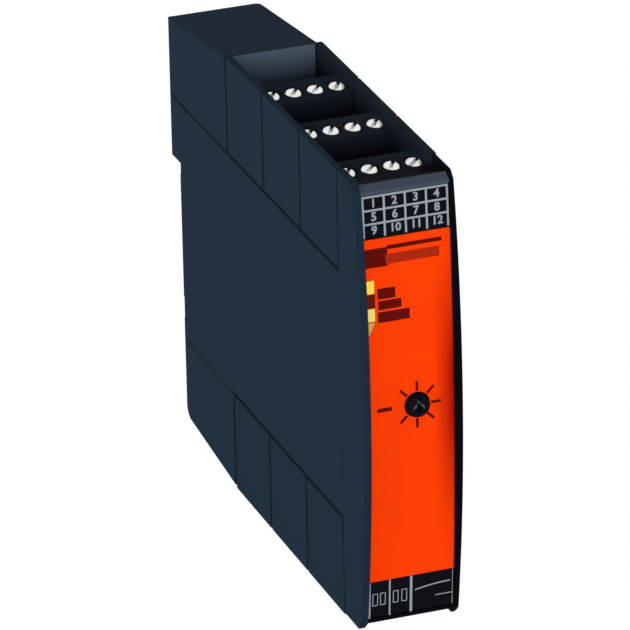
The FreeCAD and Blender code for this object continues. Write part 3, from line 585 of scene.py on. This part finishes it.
# ---------------------------------------------------------------- geometry node trees
class Tree:
    """A geometry node tree with named inputs, evaluated into a plain mesh."""

    def __init__(self, name, inputs):
        self.group = bpy.data.node_groups.new(name, "GeometryNodeTree")
        kinds = {float: "NodeSocketFloat", int: "NodeSocketInt", Vector: "NodeSocketVector",
                 bpy.types.Object: "NodeSocketObject", bpy.types.Material: "NodeSocketMaterial"}
        self.names = {}
        for label, kind in inputs.items():
            socket = self.group.interface.new_socket(name=label, in_out="INPUT",
                                                     socket_type=kinds[kind])
            self.names[label] = socket.identifier
        self.group.interface.new_socket(name="Geometry", in_out="OUTPUT",
                                        socket_type="NodeSocketGeometry")
        self.source = self.group.nodes.new("NodeGroupInput")

    def input(self, label):
        return self.source.outputs[label]

    def node(self, kind, settings, inputs, output=0):
        made = self.group.nodes.new(kind)
        for key, value in settings.items():
            setattr(made, key, value)
        for key, value in inputs.items():
            for each in value if isinstance(value, list) else [value]:
                if isinstance(each, bpy.types.NodeSocket):
                    self.group.links.new(each, made.inputs[key])
                else:
                    made.inputs[key].default_value = each
        return made.outputs[output]

    def maths(self, operation, first, second=0.0):
        return self.node("ShaderNodeMath", {"operation": operation}, {0: first, 1: second})

    def vector(self, x=0.0, y=0.0, z=0.0):
        return self.node("ShaderNodeCombineXYZ", {}, {"X": x, "Y": y, "Z": z})

    def bars(self, points, size, turn=None, centre=None):
        """A bar of the given size on each point."""
        bar = self.node("GeometryNodeMeshCube", {}, {"Size": size, "Vertices Z": 9})
        if centre is not None:
            bar = self.node("GeometryNodeTransform", {}, {"Geometry": bar, "Translation": centre})
        inputs = {"Points": points, "Instance": bar}
        if turn is not None:
            inputs["Rotation"] = turn
        return self.node("GeometryNodeInstanceOnPoints", {}, inputs)

    def wrapped(self, geometry, lift):
        """Realizes the geometry and lays it on the labels' curved face."""
        real = self.node("GeometryNodeRealizeInstances", {}, {0: geometry})
        place = self.node("GeometryNodeInputPosition", {}, {})
        z = self.node("ShaderNodeSeparateXYZ", {}, {0: place}, "Z")
        height = self.maths("SUBTRACT", z, MID_Z * MM)
        square = self.maths("SUBTRACT", (LABEL_RADIUS * MM) ** 2,
                            self.maths("MULTIPLY", height, height))
        root = self.maths("SQRT", square)
        front = self.maths("SUBTRACT", (LABEL_MID_Y + LABEL_RADIUS) * MM, root)
        moved = self.maths("SUBTRACT", front, self.maths("MULTIPLY", lift, 0.5))
        return self.node("GeometryNodeSetPosition", {},
                         {"Geometry": real, "Offset": self.vector(y=moved)})

    def finish(self, geometry):
        painted = self.node("GeometryNodeSetMaterial", {},
                            {"Geometry": geometry, "Material": self.input("Material")})
        target = self.group.nodes.new("NodeGroupOutput")
        self.group.links.new(painted, target.inputs[0])

    def build(self, name, values):
        """A plain mesh object from the tree with these input values."""
        holder = linked(name + "_maker", bpy.data.meshes.new(name + "_maker"))
        modifier = holder.modifiers.new("Maker", "NODES")
        modifier.node_group = self.group
        for label, value in values.items():
            modifier[self.names[label]] = value
        return linked(name, plain_mesh(name, holder))


def marking_grid_tree():
    """Lines between the fields of a marking strip, which is open below."""
    tree = Tree("Marking grid", {"Width": float, "Height": float, "Columns": int, "Rows": int,
                                 "Line": float, "Lift": float, "Centre X": float,
                                 "Centre Z": float, "Material": bpy.types.Material})
    width, height = tree.input("Width"), tree.input("Height")
    line, lift = tree.input("Line"), tree.input("Lift")
    left = tree.maths("SUBTRACT", tree.input("Centre X"), tree.maths("MULTIPLY", width, 0.5))
    low = tree.maths("SUBTRACT", tree.input("Centre Z"), tree.maths("MULTIPLY", height, 0.5))
    across = tree.maths("DIVIDE", width, tree.input("Columns"))
    upward = tree.maths("DIVIDE", height, tree.input("Rows"))
    uprights = tree.node("GeometryNodeMeshLine", {},
                         {"Count": tree.maths("ADD", tree.input("Columns"), 1.0),
                          "Start Location": tree.vector(left, 0.0, tree.input("Centre Z")),
                          "Offset": tree.vector(across)})
    levels = tree.node("GeometryNodeMeshLine", {},
                       {"Count": tree.input("Rows"), "Start Location":
                        tree.vector(tree.input("Centre X"), 0.0, tree.maths("ADD", low, upward)),
                        "Offset": tree.vector(0.0, 0.0, upward)})
    joined = tree.node("GeometryNodeJoinGeometry", {}, {
        0: [tree.bars(uprights, tree.vector(line, lift, height)),
            tree.bars(levels, tree.vector(tree.maths("ADD", width, line), lift, line))]})
    tree.finish(tree.wrapped(joined, lift))
    return tree


def dial_tree():
    """Ticks round the selector, clockwise from the first."""
    tree = Tree("Dial ticks", {"Ticks": int, "First": float, "Step": float,
                               "Radius": float, "Length": float,
                               "Width": float, "Lift": float, "Centre X": float,
                               "Centre Z": float, "Material": bpy.types.Material})
    lift = tree.input("Lift")
    centre = tree.vector(tree.input("Centre X"), 0.0, tree.input("Centre Z"))
    points = tree.node("GeometryNodeMeshLine", {},
                       {"Count": tree.input("Ticks"), "Start Location": centre,
                        "Offset": (0.0, 0.0, 0.0)})
    index = tree.node("GeometryNodeInputIndex", {}, {})
    angle = tree.maths("ADD", tree.input("First"),
                       tree.maths("MULTIPLY", index, tree.input("Step")))
    turn = tree.vector(0.0, angle, 0.0)
    away = tree.maths("ADD", tree.input("Radius"),
                      tree.maths("MULTIPLY", tree.input("Length"), 0.5))
    ticks = tree.bars(points, tree.vector(tree.input("Width"), lift, tree.input("Length")),
                      turn, tree.vector(0.0, 0.0, away))
    tree.finish(tree.wrapped(ticks, lift))
    return tree


def screw_row_tree():
    """The screws of one block in a row, each slot turned its own way."""
    tree = Tree("Screw row", {"Screw": bpy.types.Object, "Count": int, "Pitch": float,
                              "Turn": float, "Spread": float, "Seed": int,
                              "Material": bpy.types.Material})
    count, pitch = tree.input("Count"), tree.input("Pitch")
    span = tree.maths("MULTIPLY", tree.maths("SUBTRACT", count, 1.0), pitch)
    start = tree.maths("MULTIPLY", span, -0.5)
    points = tree.node("GeometryNodeMeshLine", {},
                       {"Count": count, "Start Location": tree.vector(start),
                        "Offset": tree.vector(pitch)})
    spread = tree.input("Spread")
    random = tree.node("FunctionNodeRandomValue", {"data_type": "FLOAT"},
                       {2: tree.maths("MULTIPLY", spread, -1.0), 3: spread,
                        "Seed": tree.input("Seed")}, 1)
    turn = tree.vector(0.0, 0.0, tree.maths("ADD", tree.input("Turn"), random))
    screw = tree.node("GeometryNodeObjectInfo", {}, {"Object": tree.input("Screw")}, "Geometry")
    row = tree.node("GeometryNodeInstanceOnPoints", {},
                    {"Points": points, "Instance": screw, "Rotation": turn})
    tree.finish(tree.node("GeometryNodeRealizeInstances", {}, {0: row}))
    return tree


# ---------------------------------------------------------------- mesh helpers
def spun(profile, steps=40):
    """Closed solid of revolution about Z from (radius, height) points, both ends on the axis."""
    mesh = bmesh.new()
    points = [mesh.verts.new((r * MM, 0, z * MM)) for r, z in profile]
    edges = [mesh.edges.new(pair) for pair in zip(points, points[1:])]
    bmesh.ops.spin(mesh, geom=points + edges, axis=(0, 0, 1), cent=(0, 0, 0),
                   angle=2 * math.pi, steps=steps, use_duplicate=False)
    bmesh.ops.remove_doubles(mesh, verts=mesh.verts, dist=1e-6)
    bmesh.ops.recalc_face_normals(mesh, faces=mesh.faces)
    return mesh


def coil(wire, turns, low, high, steps=24, sides=8):
    """Round wire wound about an upright axis, filling the box from low to high, in mm."""
    mesh = bmesh.new()
    centre, radius = (low + high) / 2, (high.x - low.x - wire) / 2
    rise = high.z - low.z - wire
    rings = []
    for step in range(steps * turns + 1):
        angle = 2 * math.pi * step / steps
        away, up = Vector((math.cos(angle), math.sin(angle), 0)), Vector((0, 0, 1))
        height = low.z + wire / 2 + rise * step / (steps * turns)
        middle = Vector((centre.x, centre.y, height)) + away * radius
        ring = []
        for side in range(sides):
            turn = 2 * math.pi * side / sides
            out = (away * math.cos(turn) + up * math.sin(turn)) * (wire / 2)
            ring.append(mesh.verts.new((middle + out) * MM))
        rings.append(ring)
    for one, two in zip(rings, rings[1:]):
        for a in range(sides):
            b = (a + 1) % sides
            mesh.faces.new((one[a], one[b], two[b], two[a]))
    mesh.faces.new(rings[0])
    mesh.faces.new(rings[-1])
    bmesh.ops.recalc_face_normals(mesh, faces=mesh.faces)
    return mesh


def block(low, high):
    """Box between two corners in mm."""
    mesh = bmesh.new()
    size = Vector(high) - Vector(low)
    middle = (Vector(high) + Vector(low)) / 2
    bmesh.ops.create_cube(mesh, size=1.0, matrix=Matrix.Translation(middle * MM)
                          @ Matrix.Diagonal((*(size * MM), 1.0)))
    return mesh


def as_mesh(name, made):
    """A mesh from what was made, which is freed."""
    mesh = bpy.data.meshes.new(name)
    made.to_mesh(mesh)
    made.free()
    return mesh


def cut_from(name, body, cutters, edge=0.08):
    """The body less its cutters, with its sharp edges slightly rounded, as a plain mesh."""
    piece = linked(name, as_mesh(name, body))
    holders = []
    for cutter in cutters:
        holder = linked(name + "_cutter", as_mesh(name, cutter))
        modifier = piece.modifiers.new("Cut", "BOOLEAN")
        modifier.operation = "DIFFERENCE"
        modifier.solver = "EXACT"
        modifier.object = holder
        holders.append(holder)
    bevel = piece.modifiers.new("Edges", "BEVEL")
    bevel.width = edge * MM
    bevel.segments = 2
    bevel.limit_method = "ANGLE"
    bevel.angle_limit = math.radians(35)
    mesh = plain_mesh(name, piece)
    for holder in holders:
        bpy.data.objects.remove(holder)
    return mesh


def laid_on_label(mesh, lift):
    """Moves a flat print, drawn in x and z with its back at y = 0, on to the curved labels."""
    for vertex in mesh.vertices:
        front = label_y(vertex.co.z / MM) * MM
        vertex.co.y = front + (-lift if vertex.co.y < 0 else 0.0)


def numbers(name, marks, size, weight, lift, material):
    """Plain numbers, one for each (text, x, z) in mm, printed on the labels."""
    parts = bmesh.new()
    for text, x, z in marks:
        curve = bpy.data.curves.new(name, "FONT")
        curve.body = text
        curve.size = size
        curve.resolution_u = 3
        curve.align_x = "CENTER"
        curve.align_y = "CENTER"
        curve.extrude = lift / 2
        curve.offset = weight
        mesh = plain_mesh(name, linked(name + "_maker", curve))
        mesh.transform(Matrix.Translation((x * MM, 0, z * MM))
                       @ Matrix.Rotation(math.pi / 2, 4, "X"))
        parts.from_mesh(mesh)
        bpy.data.meshes.remove(mesh)
    mesh = as_mesh(name, parts)
    laid_on_label(mesh, lift)
    mesh.materials.append(material)
    return linked(name, mesh)


def stroke_into(mesh, points, width, lift):
    """A printed line of one width, in mm, through (x, z) points, on a flat sheet."""
    path = [Vector((x, 0, z)) for x, z in points]
    for start, end in zip(path, path[1:]):
        along = (end - start).normalized()
        side = Vector((-along.z, 0, along.x)) * (width / 2)
        ends = (start - along * (width / 4), end + along * (width / 4))
        ring = [ends[0] + side, ends[1] + side, ends[1] - side, ends[0] - side]
        low = [mesh.verts.new(co * MM) for co in ring]
        high = [mesh.verts.new(co * MM - Vector((0, lift, 0))) for co in ring]
        mesh.faces.new(low)
        mesh.faces.new(reversed(high))
        for a in range(4):
            b = (a + 1) % 4
            mesh.faces.new((low[b], low[a], high[a], high[b]))


def printed_strokes(name, strokes, lift, material):
    """Printed lines, each (points, width) in mm, on the labels."""
    parts = bmesh.new()
    for points, width in strokes:
        stroke_into(parts, points, width, lift)
    bmesh.ops.recalc_face_normals(parts, faces=parts.faces)
    mesh = as_mesh(name, parts)
    laid_on_label(mesh, lift)
    mesh.materials.append(material)
    return linked(name, mesh)


def settings():
    """The user's finishes, and the sizes of the print, the screws and the stage."""
    scene = bpy.context.scene
    return scene.relay_finishes, scene.relay_print, scene.relay_screws, scene.relay_stage


def coat(material, *names):
    """Gives CAD nodes a finish."""
    for name in names:
        node = frame["nodes"][name]
        node.data.materials.clear()
        node.data.materials.append(material)


def family(stem):
    """The names of the six nodes of one kind, a node for each block."""
    return [f"{stem}_{row}_{index}" for row in ROWS for index in BLOCKS]


# ---------------------------------------------------------------- operators
class RELAY_OT_housing(bpy.types.Operator):
    """Finishes the housing, its side cover and the terminal blocks' bodies"""

    bl_idname = "relay.housing"
    bl_label = "Housing and blocks"

    def execute(self, context):
        finishes = context.scene.relay_finishes
        # painted light on the step, painted shade along the seams
        coat(housing_plastic_painted_light("Slate housing painted light and shade", finishes.housing, finishes.step), "housing")
        # painted shade: the side cover is black between its outer sides
        coat(moulded("Slate cover painted shade", finishes.housing, painted_inner_shade=finishes.black_and_painted_shade), "side_cover")
        # painted shade: the blocks are darker between their slate outer sides and along their seams
        coat(moulded("Slate block painted shade", finishes.housing, painted_inner_shade=finishes.deck_painted_shade, left_edge=1.45,
                     seam_shaded=True), *family("terminal_body"))
        # painted shade in black within the frame, painted light on its band over the labels
        coat(frame_plastic_painted_light("Front frame painted light and shade", finishes.housing, finishes.black_and_painted_shade, finishes.band),
             "front_frame")
        return {"FINISHED"}


class RELAY_OT_screws(bpy.types.Operator):
    """Makes the terminal screws, and finishes clamps, pins and header strips"""

    bl_idname = "relay.screws"
    bl_label = "Screws and clamps"

    def head(self, sizes):
        """One screw with its head's top at z = 0."""
        radius = sizes.head / MM / 2
        tip, tip_height, first_ridge = 0.35, 0.4, 0.7
        neck, under_head, slot_depth = 0.4, -1.6, 0.8
        profile = [(0, -SCREW_LENGTH), (THREAD_RADIUS - tip, -SCREW_LENGTH),
                   (THREAD_RADIUS, -SCREW_LENGTH + tip_height)]
        for ridge in range(THREADS):
            height = -SCREW_LENGTH + first_ridge + ridge * THREAD_PITCH
            profile += [(THREAD_RADIUS, height), (THREAD_ROOT, height + THREAD_PITCH / 2)]
        profile += [(THREAD_RADIUS, under_head - neck), (THREAD_RADIUS, under_head),
                    (radius - 0.12, under_head), (radius, under_head + 0.12),
                    (radius, -0.30), (radius - 0.09, -0.10), (radius - 0.30, 0.0), (0, 0)]
        half = sizes.slot / MM / 2
        slot = block((-radius - 1, -half, -slot_depth), (radius + 1, half, 1))
        return cut_from("screw_master", spun(profile), [slot], 0.05)

    def execute(self, context):
        finishes, _, sizes, _ = settings()
        steel = plated("Bright plated steel", finishes.screw, 0.20, 0.6, dullest=0.96)
        master = linked("screw_master", self.head(sizes))
        tree = screw_row_tree()
        for index, name in enumerate(family("terminal_screws")):
            row = tree.build(name.replace("terminal", "slotted"), {
                "Screw": master, "Count": SCREWS, "Pitch": sizes.pitch, "Turn": sizes.turn,
                "Spread": sizes.spread, "Seed": sizes.seed + index, "Material": steel})
            row.data.transform(self.place(name, sizes))
            row.data.update()
            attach(row, name.replace("terminal_screws", "terminal_block"))
            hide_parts(name)
        bpy.data.objects.remove(master)
        coat(plated("Bright clamp steel", (0.62, 0.60, 0.55), 0.32), *family("terminal_clamps"))
        coat(plated("Tinned pins", (0.78, 0.75, 0.70), 0.25), *family("header_pins"))
        coat(moulded("Black header", finishes.black_and_painted_shade), *family("header_strip"))
        return {"FINISHED"}

    def place(self, node, sizes):
        """From the row's own axes to the ledge where the CAD node's screws stand."""
        low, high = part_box(node)
        radius = sizes.head / 2
        y = low.y + radius * math.cos(SCREW_TILT) - sizes.edge * math.sin(SCREW_TILT)
        drop = (radius - sizes.edge) * math.sin(SCREW_TILT)
        turn = Matrix.Rotation(SCREW_TILT, 4, "X")
        if "top" in node:
            return Matrix.Translation((0, y, high.z - drop)) @ turn
        return Matrix.Translation((0, y, low.z + drop)) @ Matrix.Rotation(math.pi, 4, "Y") @ turn


class RELAY_OT_front(bpy.types.Operator):
    """Finishes the front panel and the marking strips, with their lines and numbers"""

    bl_idname = "relay.front"
    bl_label = "Front panel and strips"

    def execute(self, context):
        finishes, sizes, _, _ = settings()
        # painted shade: deeper red along the panel's right edge
        coat(panel_sheet_painted_shade("Orange panel painted shade", finishes.panel, finishes.panel_painted_shade), "front_panel")
        coat(moulded("Black marking", finishes.marking, roughness=0.4), "marking_strip_top",
             "marking_strip_bottom")
        light = ink("Grey ink", finishes.print_light)
        dark = ink("Dark red ink", finishes.print_dark)
        mid = ink("Red ink", finishes.print_mid)
        low, high = STRIP_TOP_LOW, STRIP_TOP_HIGH
        lines = marking_grid_tree().build("marking_lines_top", {
            "Width": (high.x - low.x - 2 * STRIP_MARGIN) * MM,
            "Height": (high.z - low.z - 2 * STRIP_MARGIN) * MM,
            "Columns": SCREWS, "Rows": STRIP_ROWS, "Line": sizes.line, "Lift": sizes.lift,
            "Centre X": (low.x + high.x) / 2 * MM, "Centre Z": (low.z + high.z) / 2 * MM,
            "Material": light})
        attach(lines, "relay_housing")
        self.figures(low, high, sizes, light)
        self.circuit(sizes, light)
        self.scale(sizes, dark)
        self.fields(sizes, dark, mid)
        return {"FINISHED"}

    def figures(self, low, high, sizes, material):
        """A plain number in each field of the upper strip."""
        wide = (high.x - low.x - 2 * STRIP_MARGIN) / SCREWS
        tall = (high.z - low.z - 2 * STRIP_MARGIN) / STRIP_ROWS
        marks = [(str(1 + line * SCREWS + column), low.x + STRIP_MARGIN + (column + 0.5) * wide,
                  high.z - STRIP_MARGIN - (line + 0.5) * tall)
                 for line in range(STRIP_ROWS) for column in range(SCREWS)]
        piece = numbers("marking_numbers_top", marks, sizes.figure * FIGURE_EM, sizes.weight,
                        sizes.lift, material)
        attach(piece, "relay_housing")

    def circuit(self, sizes, material):
        """Lines of the lower strip, with plain contact symbols between them."""
        low, high = STRIP_BOTTOM_LOW, STRIP_BOTTOM_HIGH
        width, height = high.x - low.x, high.z - low.z
        middle = (low.z + high.z) / 2
        line, end_gap = sizes.line / MM, 0.1
        uprights = ((0.015, 0.9), (0.25, 0.8), (0.5, 1.2), (0.985, 0.3))
        boxes, half_wide, half_tall = (0.08, 0.17, 0.32, 0.42), 0.55, 1.4
        strokes = []
        for share, weight in uprights:
            x = low.x + share * width
            strokes.append(([(x, low.z + end_gap), (x, high.z - end_gap)], weight * line))
        for share in boxes:
            left, right = (low.x + share * width + side * half_wide for side in (-1, 1))
            under, over = middle - half_tall, middle + half_tall
            strokes.append(([(left, under), (right, under), (right, over), (left, over),
                             (left, under)], 0.4 * line))
        steps = [step / 10 for step in range(11)]
        contact = [(low.x + (0.55 + 0.40 * t) * width,
                    low.z + (0.59 + 0.095 * (1 - (1 - t) ** 2)) * height) for t in steps]
        strokes.append((contact, 0.7 * line))
        lead = low.z + 0.34 * height
        strokes.append(([(low.x + 0.79 * width, lead), (low.x + 0.97 * width, lead)],
                        0.5 * line))
        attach(printed_strokes("marking_lines_bottom", strokes, sizes.lift, material),
                "relay_housing")

    def scale(self, sizes, material):
        """Ticks round the selector; its first position has the longer mark at its left."""
        radius = (KNOB_HIGH.x - KNOB_LOW.x) / 2 * MM
        ticks = dial_tree().build("scale_ticks", {
            "Ticks": 7, "First": -math.pi / 4, "Step": math.pi / 4,
            "Radius": radius + sizes.tick_gap, "Length": sizes.tick,
            "Width": sizes.tick_width, "Lift": sizes.lift, "Centre X": KNOB_X * MM,
            "Centre Z": KNOB_Z * MM, "Material": material})
        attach(ticks, "relay_housing")
        far, near, width = 8.8, 5.9, 0.9
        mark = [([(KNOB_X - far, KNOB_Z), (KNOB_X - near, KNOB_Z)], width)]
        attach(printed_strokes("scale_mark", mark, sizes.lift, material), "relay_housing")

    def fields(self, sizes, dark, mid):
        """Plain bars where such a panel carries its wording."""
        left, top = PANEL_LOW.x, PANEL_HIGH.z
        heading, rule, pale = (0.8, 4.4, 4.2, 4.2), (5.5, 17.4, 2.2, 0.9), (5.5, 16.5, 4.8, 2.2)
        signals = ((3.5, 6.3, 12.4, 2.4), (3.5, 7.7, 15.0, 2.0), (3.5, 9.4, 17.7, 2.4))

        def bar(start, end, drop, width):
            return [(left + start, top - drop), (left + end, top - drop)], width

        dark_bars = [bar(*each) for each in (heading, rule, *signals)]
        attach(printed_strokes("panel_bars", dark_bars, sizes.lift, dark), "relay_housing")
        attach(printed_strokes("panel_pale_bar", [bar(*pale)], sizes.lift, mid),
                "relay_housing")


class RELAY_OT_controls(bpy.types.Operator):
    """Finishes the selector, its switch and the signal windows"""

    bl_idname = "relay.controls"
    bl_label = "Selector and signals"

    def execute(self, context):
        finishes = context.scene.relay_finishes
        coat(signal_windows("Signal windows"), "light_guides")
        # the knob's chevron is a painted highlight in the paler band grey
        coat(selector_plastic("Black selector painted highlight", finishes.black_and_painted_shade, finishes.band),
             "selector_knob")
        coat(moulded("Black switch", finishes.black_and_painted_shade, 0.1, 0.004), "rotary_switch")
        coat(plated("Clear diode", (0.55, 0.55, 0.5), 0.2, 0.0), "indicator_leds")
        return {"FINISHED"}


class RELAY_OT_inside(bpy.types.Operator):
    """Finishes the boards and what they carry"""

    bl_idname = "relay.inside"
    bl_label = "Boards and components"

    def execute(self, context):
        finishes = context.scene.relay_finishes
        coat(circuit_board("Green board"), "main_board", "front_board")
        coat(wound_coil("Wound coil"), "transformer")
        coat(capacitor_sleeve("Capacitor sleeve"), "capacitors")
        coat(moulded("Chip epoxy", (0.008, 0.008, 0.009), 0.05, 0.004, 0.45), "controller_chips")
        coat(moulded("Relay case", (0.012, 0.014, 0.018), 0.12, 0.006, 0.3, 0.4), "relay_1",
             "relay_2", "relay_3")
        coat(moulded("Connector", finishes.black_and_painted_shade), "board_connector")
        return {"FINISHED"}


class RELAY_OT_rail_parts(bpy.types.Operator):
    """Finishes the rail latch and winds its spring"""

    bl_idname = "relay.rail_parts"
    bl_label = "Rail latch"

    def execute(self, context):
        finishes = context.scene.relay_finishes
        coat(moulded("Latch plastic", finishes.black_and_painted_shade, 0.14, 0.008, 0.45, 0.35), "rail_latch")
        wound = coil(SPRING_WIRE, SPRING_TURNS, SPRING_LOW, SPRING_HIGH)
        spring = linked("coil_spring", as_mesh("coil_spring", wound))
        for face in spring.data.polygons:
            face.use_smooth = len(face.vertices) == 4
        spring.data.materials.append(plated("Spring wire", (0.55, 0.55, 0.56), 0.3))
        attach(spring, "relay_housing")
        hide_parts("latch_spring")
        share = LATCH_TRAVEL / (SPRING_HIGH.z - SPRING_LOW.z)
        1 - share
        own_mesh(spring)
        return {"FINISHED"}


def from_angles(azimuth, elevation):
    """Direction from the part towards a lamp or the camera; azimuth 0 is the front."""
    return Vector((math.sin(azimuth) * math.cos(elevation),
                   -math.cos(azimuth) * math.cos(elevation), math.sin(elevation)))


class RELAY_OT_stage(bpy.types.Operator):
    """Makes the floor, the lights and the camera"""

    bl_idname = "relay.stage"
    bl_label = "Floor, lights and camera"

    def floor(self):
        """Pale floor that keeps the shadow, and glows so that it meets the white behind it."""
        half, glowing, glow = 6.0, 0.90, 1.07
        mesh = bmesh.new()
        corners = [(-half, -half), (half, -half), (half, half), (-half, half)]
        mesh.faces.new([mesh.verts.new((x, y, CAD_BOX[0].z)) for x, y in corners])
        piece = linked("floor", as_mesh("floor", mesh))
        finish = Finish("Pale floor")
        matt = finish.node("ShaderNodeBsdfDiffuse", {}, {"Color": (0.8, 0.8, 0.8, 1.0)})
        white = finish.node("ShaderNodeEmission", {}, {"Color": (1, 1, 1, 1), "Strength": glow})
        both = finish.node("ShaderNodeMixShader", {},
                           {0: finish.looked_at() * glowing, 1: matt, 2: white})
        finish.node("ShaderNodeOutputMaterial", {}, {"Surface": both})
        piece.data.materials.append(finish.material)

    def world(self, ambient):
        """White where it is looked at, and dimmer as a light."""
        world = bpy.data.worlds.new("Studio")
        bpy.context.scene.world = world
        shading = Shading(world)
        level = shading.looked_at() * (1.0 - ambient) + ambient
        back = shading.node("ShaderNodeBackground", {},
                            {"Color": (1, 1, 1, 1), "Strength": level})
        shading.node("ShaderNodeOutputWorld", {}, {"Surface": back})

    def lamp(self, name, irradiance, azimuth, elevation, distance=2.2):
        """Square soft light aimed at the part's middle, with its angles in degrees."""
        light = bpy.data.lights.new(name, "AREA")
        light.size = LAMP_SIZE
        light.energy = irradiance * math.pi * distance ** 2 * 4
        lamp = linked(name, light)
        back = from_angles(math.radians(azimuth), math.radians(elevation))
        lamp.location = (CAD_BOX[0] + CAD_BOX[1]) / 2 + back * distance
        lamp.rotation_mode = "QUATERNION"
        lamp.rotation_quaternion = (-back).to_track_quat("-Z", "Y")

    def camera(self, stage):
        roll = stage.roll
        right = Vector((math.cos(stage.azimuth), math.sin(stage.azimuth), 0))
        back = from_angles(stage.azimuth, stage.elevation)
        up = back.cross(right)
        turned_right = right * math.cos(roll) + up * math.sin(roll)
        turned_up = -right * math.sin(roll) + up * math.cos(roll)
        aim = (CAMERA_CENTRE + turned_right * CAMERA_ACROSS + turned_up * CAMERA_UP) * MM
        data = bpy.data.cameras.new("Camera")
        data.sensor_width = 36.0
        data.lens = stage.lens
        data.clip_start = 0.05
        data.clip_end = 50.0
        camera = linked("Camera", data)
        axes = Matrix((turned_right, turned_up, back)).transposed().to_4x4()
        camera.matrix_world = Matrix.Translation(aim + back * stage.distance) @ axes
        bpy.context.scene.camera = camera

    def execute(self, context):
        stage = context.scene.relay_stage
        self.floor()
        self.world(stage.ambient)
        self.lamp("Side light", stage.side, azimuth=-85, elevation=6)
        self.lamp("Front light", stage.front, azimuth=-12, elevation=8)
        self.lamp("Fill light", stage.fill, azimuth=125, elevation=10)
        self.lamp("Top light", stage.top, azimuth=20, elevation=75, distance=2.0)
        self.camera(stage)
        context.scene.view_settings.view_transform = "Standard"
        return {"FINISHED"}


OPERATORS = (RELAY_OT_housing, RELAY_OT_screws, RELAY_OT_front, RELAY_OT_controls,
             RELAY_OT_inside, RELAY_OT_rail_parts, RELAY_OT_stage)


class RELAY_PT_panel(bpy.types.Panel):
    """Lists the relay's sizes, colours and steps"""

    bl_idname = "RELAY_PT_panel"
    bl_label = "Safety relay"
    bl_space_type = "VIEW_3D"
    bl_region_type = "UI"
    bl_category = "Relay"

    def draw(self, context):
        for name, group in GROUPS:
            box = self.layout.box()
            for key in group.__annotations__:
                box.prop(getattr(context.scene, name), key)
        for operator in OPERATORS:
            self.layout.operator(operator.bl_idname)


def register():
    for name, group in GROUPS:
        bpy.utils.register_class(group)
        setattr(bpy.types.Scene, name, PointerProperty(type=group))
    for operator in OPERATORS:
        bpy.utils.register_class(operator)
    bpy.utils.register_class(RELAY_PT_panel)


def unregister():
    bpy.utils.unregister_class(RELAY_PT_panel)
    for operator in reversed(OPERATORS):
        bpy.utils.unregister_class(operator)
    for name, group in reversed(GROUPS):
        delattr(bpy.types.Scene, name)
        bpy.utils.unregister_class(group)


def main():
    register()
    bpy.ops.relay.housing()
    bpy.ops.relay.screws()
    bpy.ops.relay.front()
    bpy.ops.relay.controls()
    bpy.ops.relay.inside()
    bpy.ops.relay.rail_parts()
    bpy.ops.relay.stage()


if __name__ == "__main__":
    main()
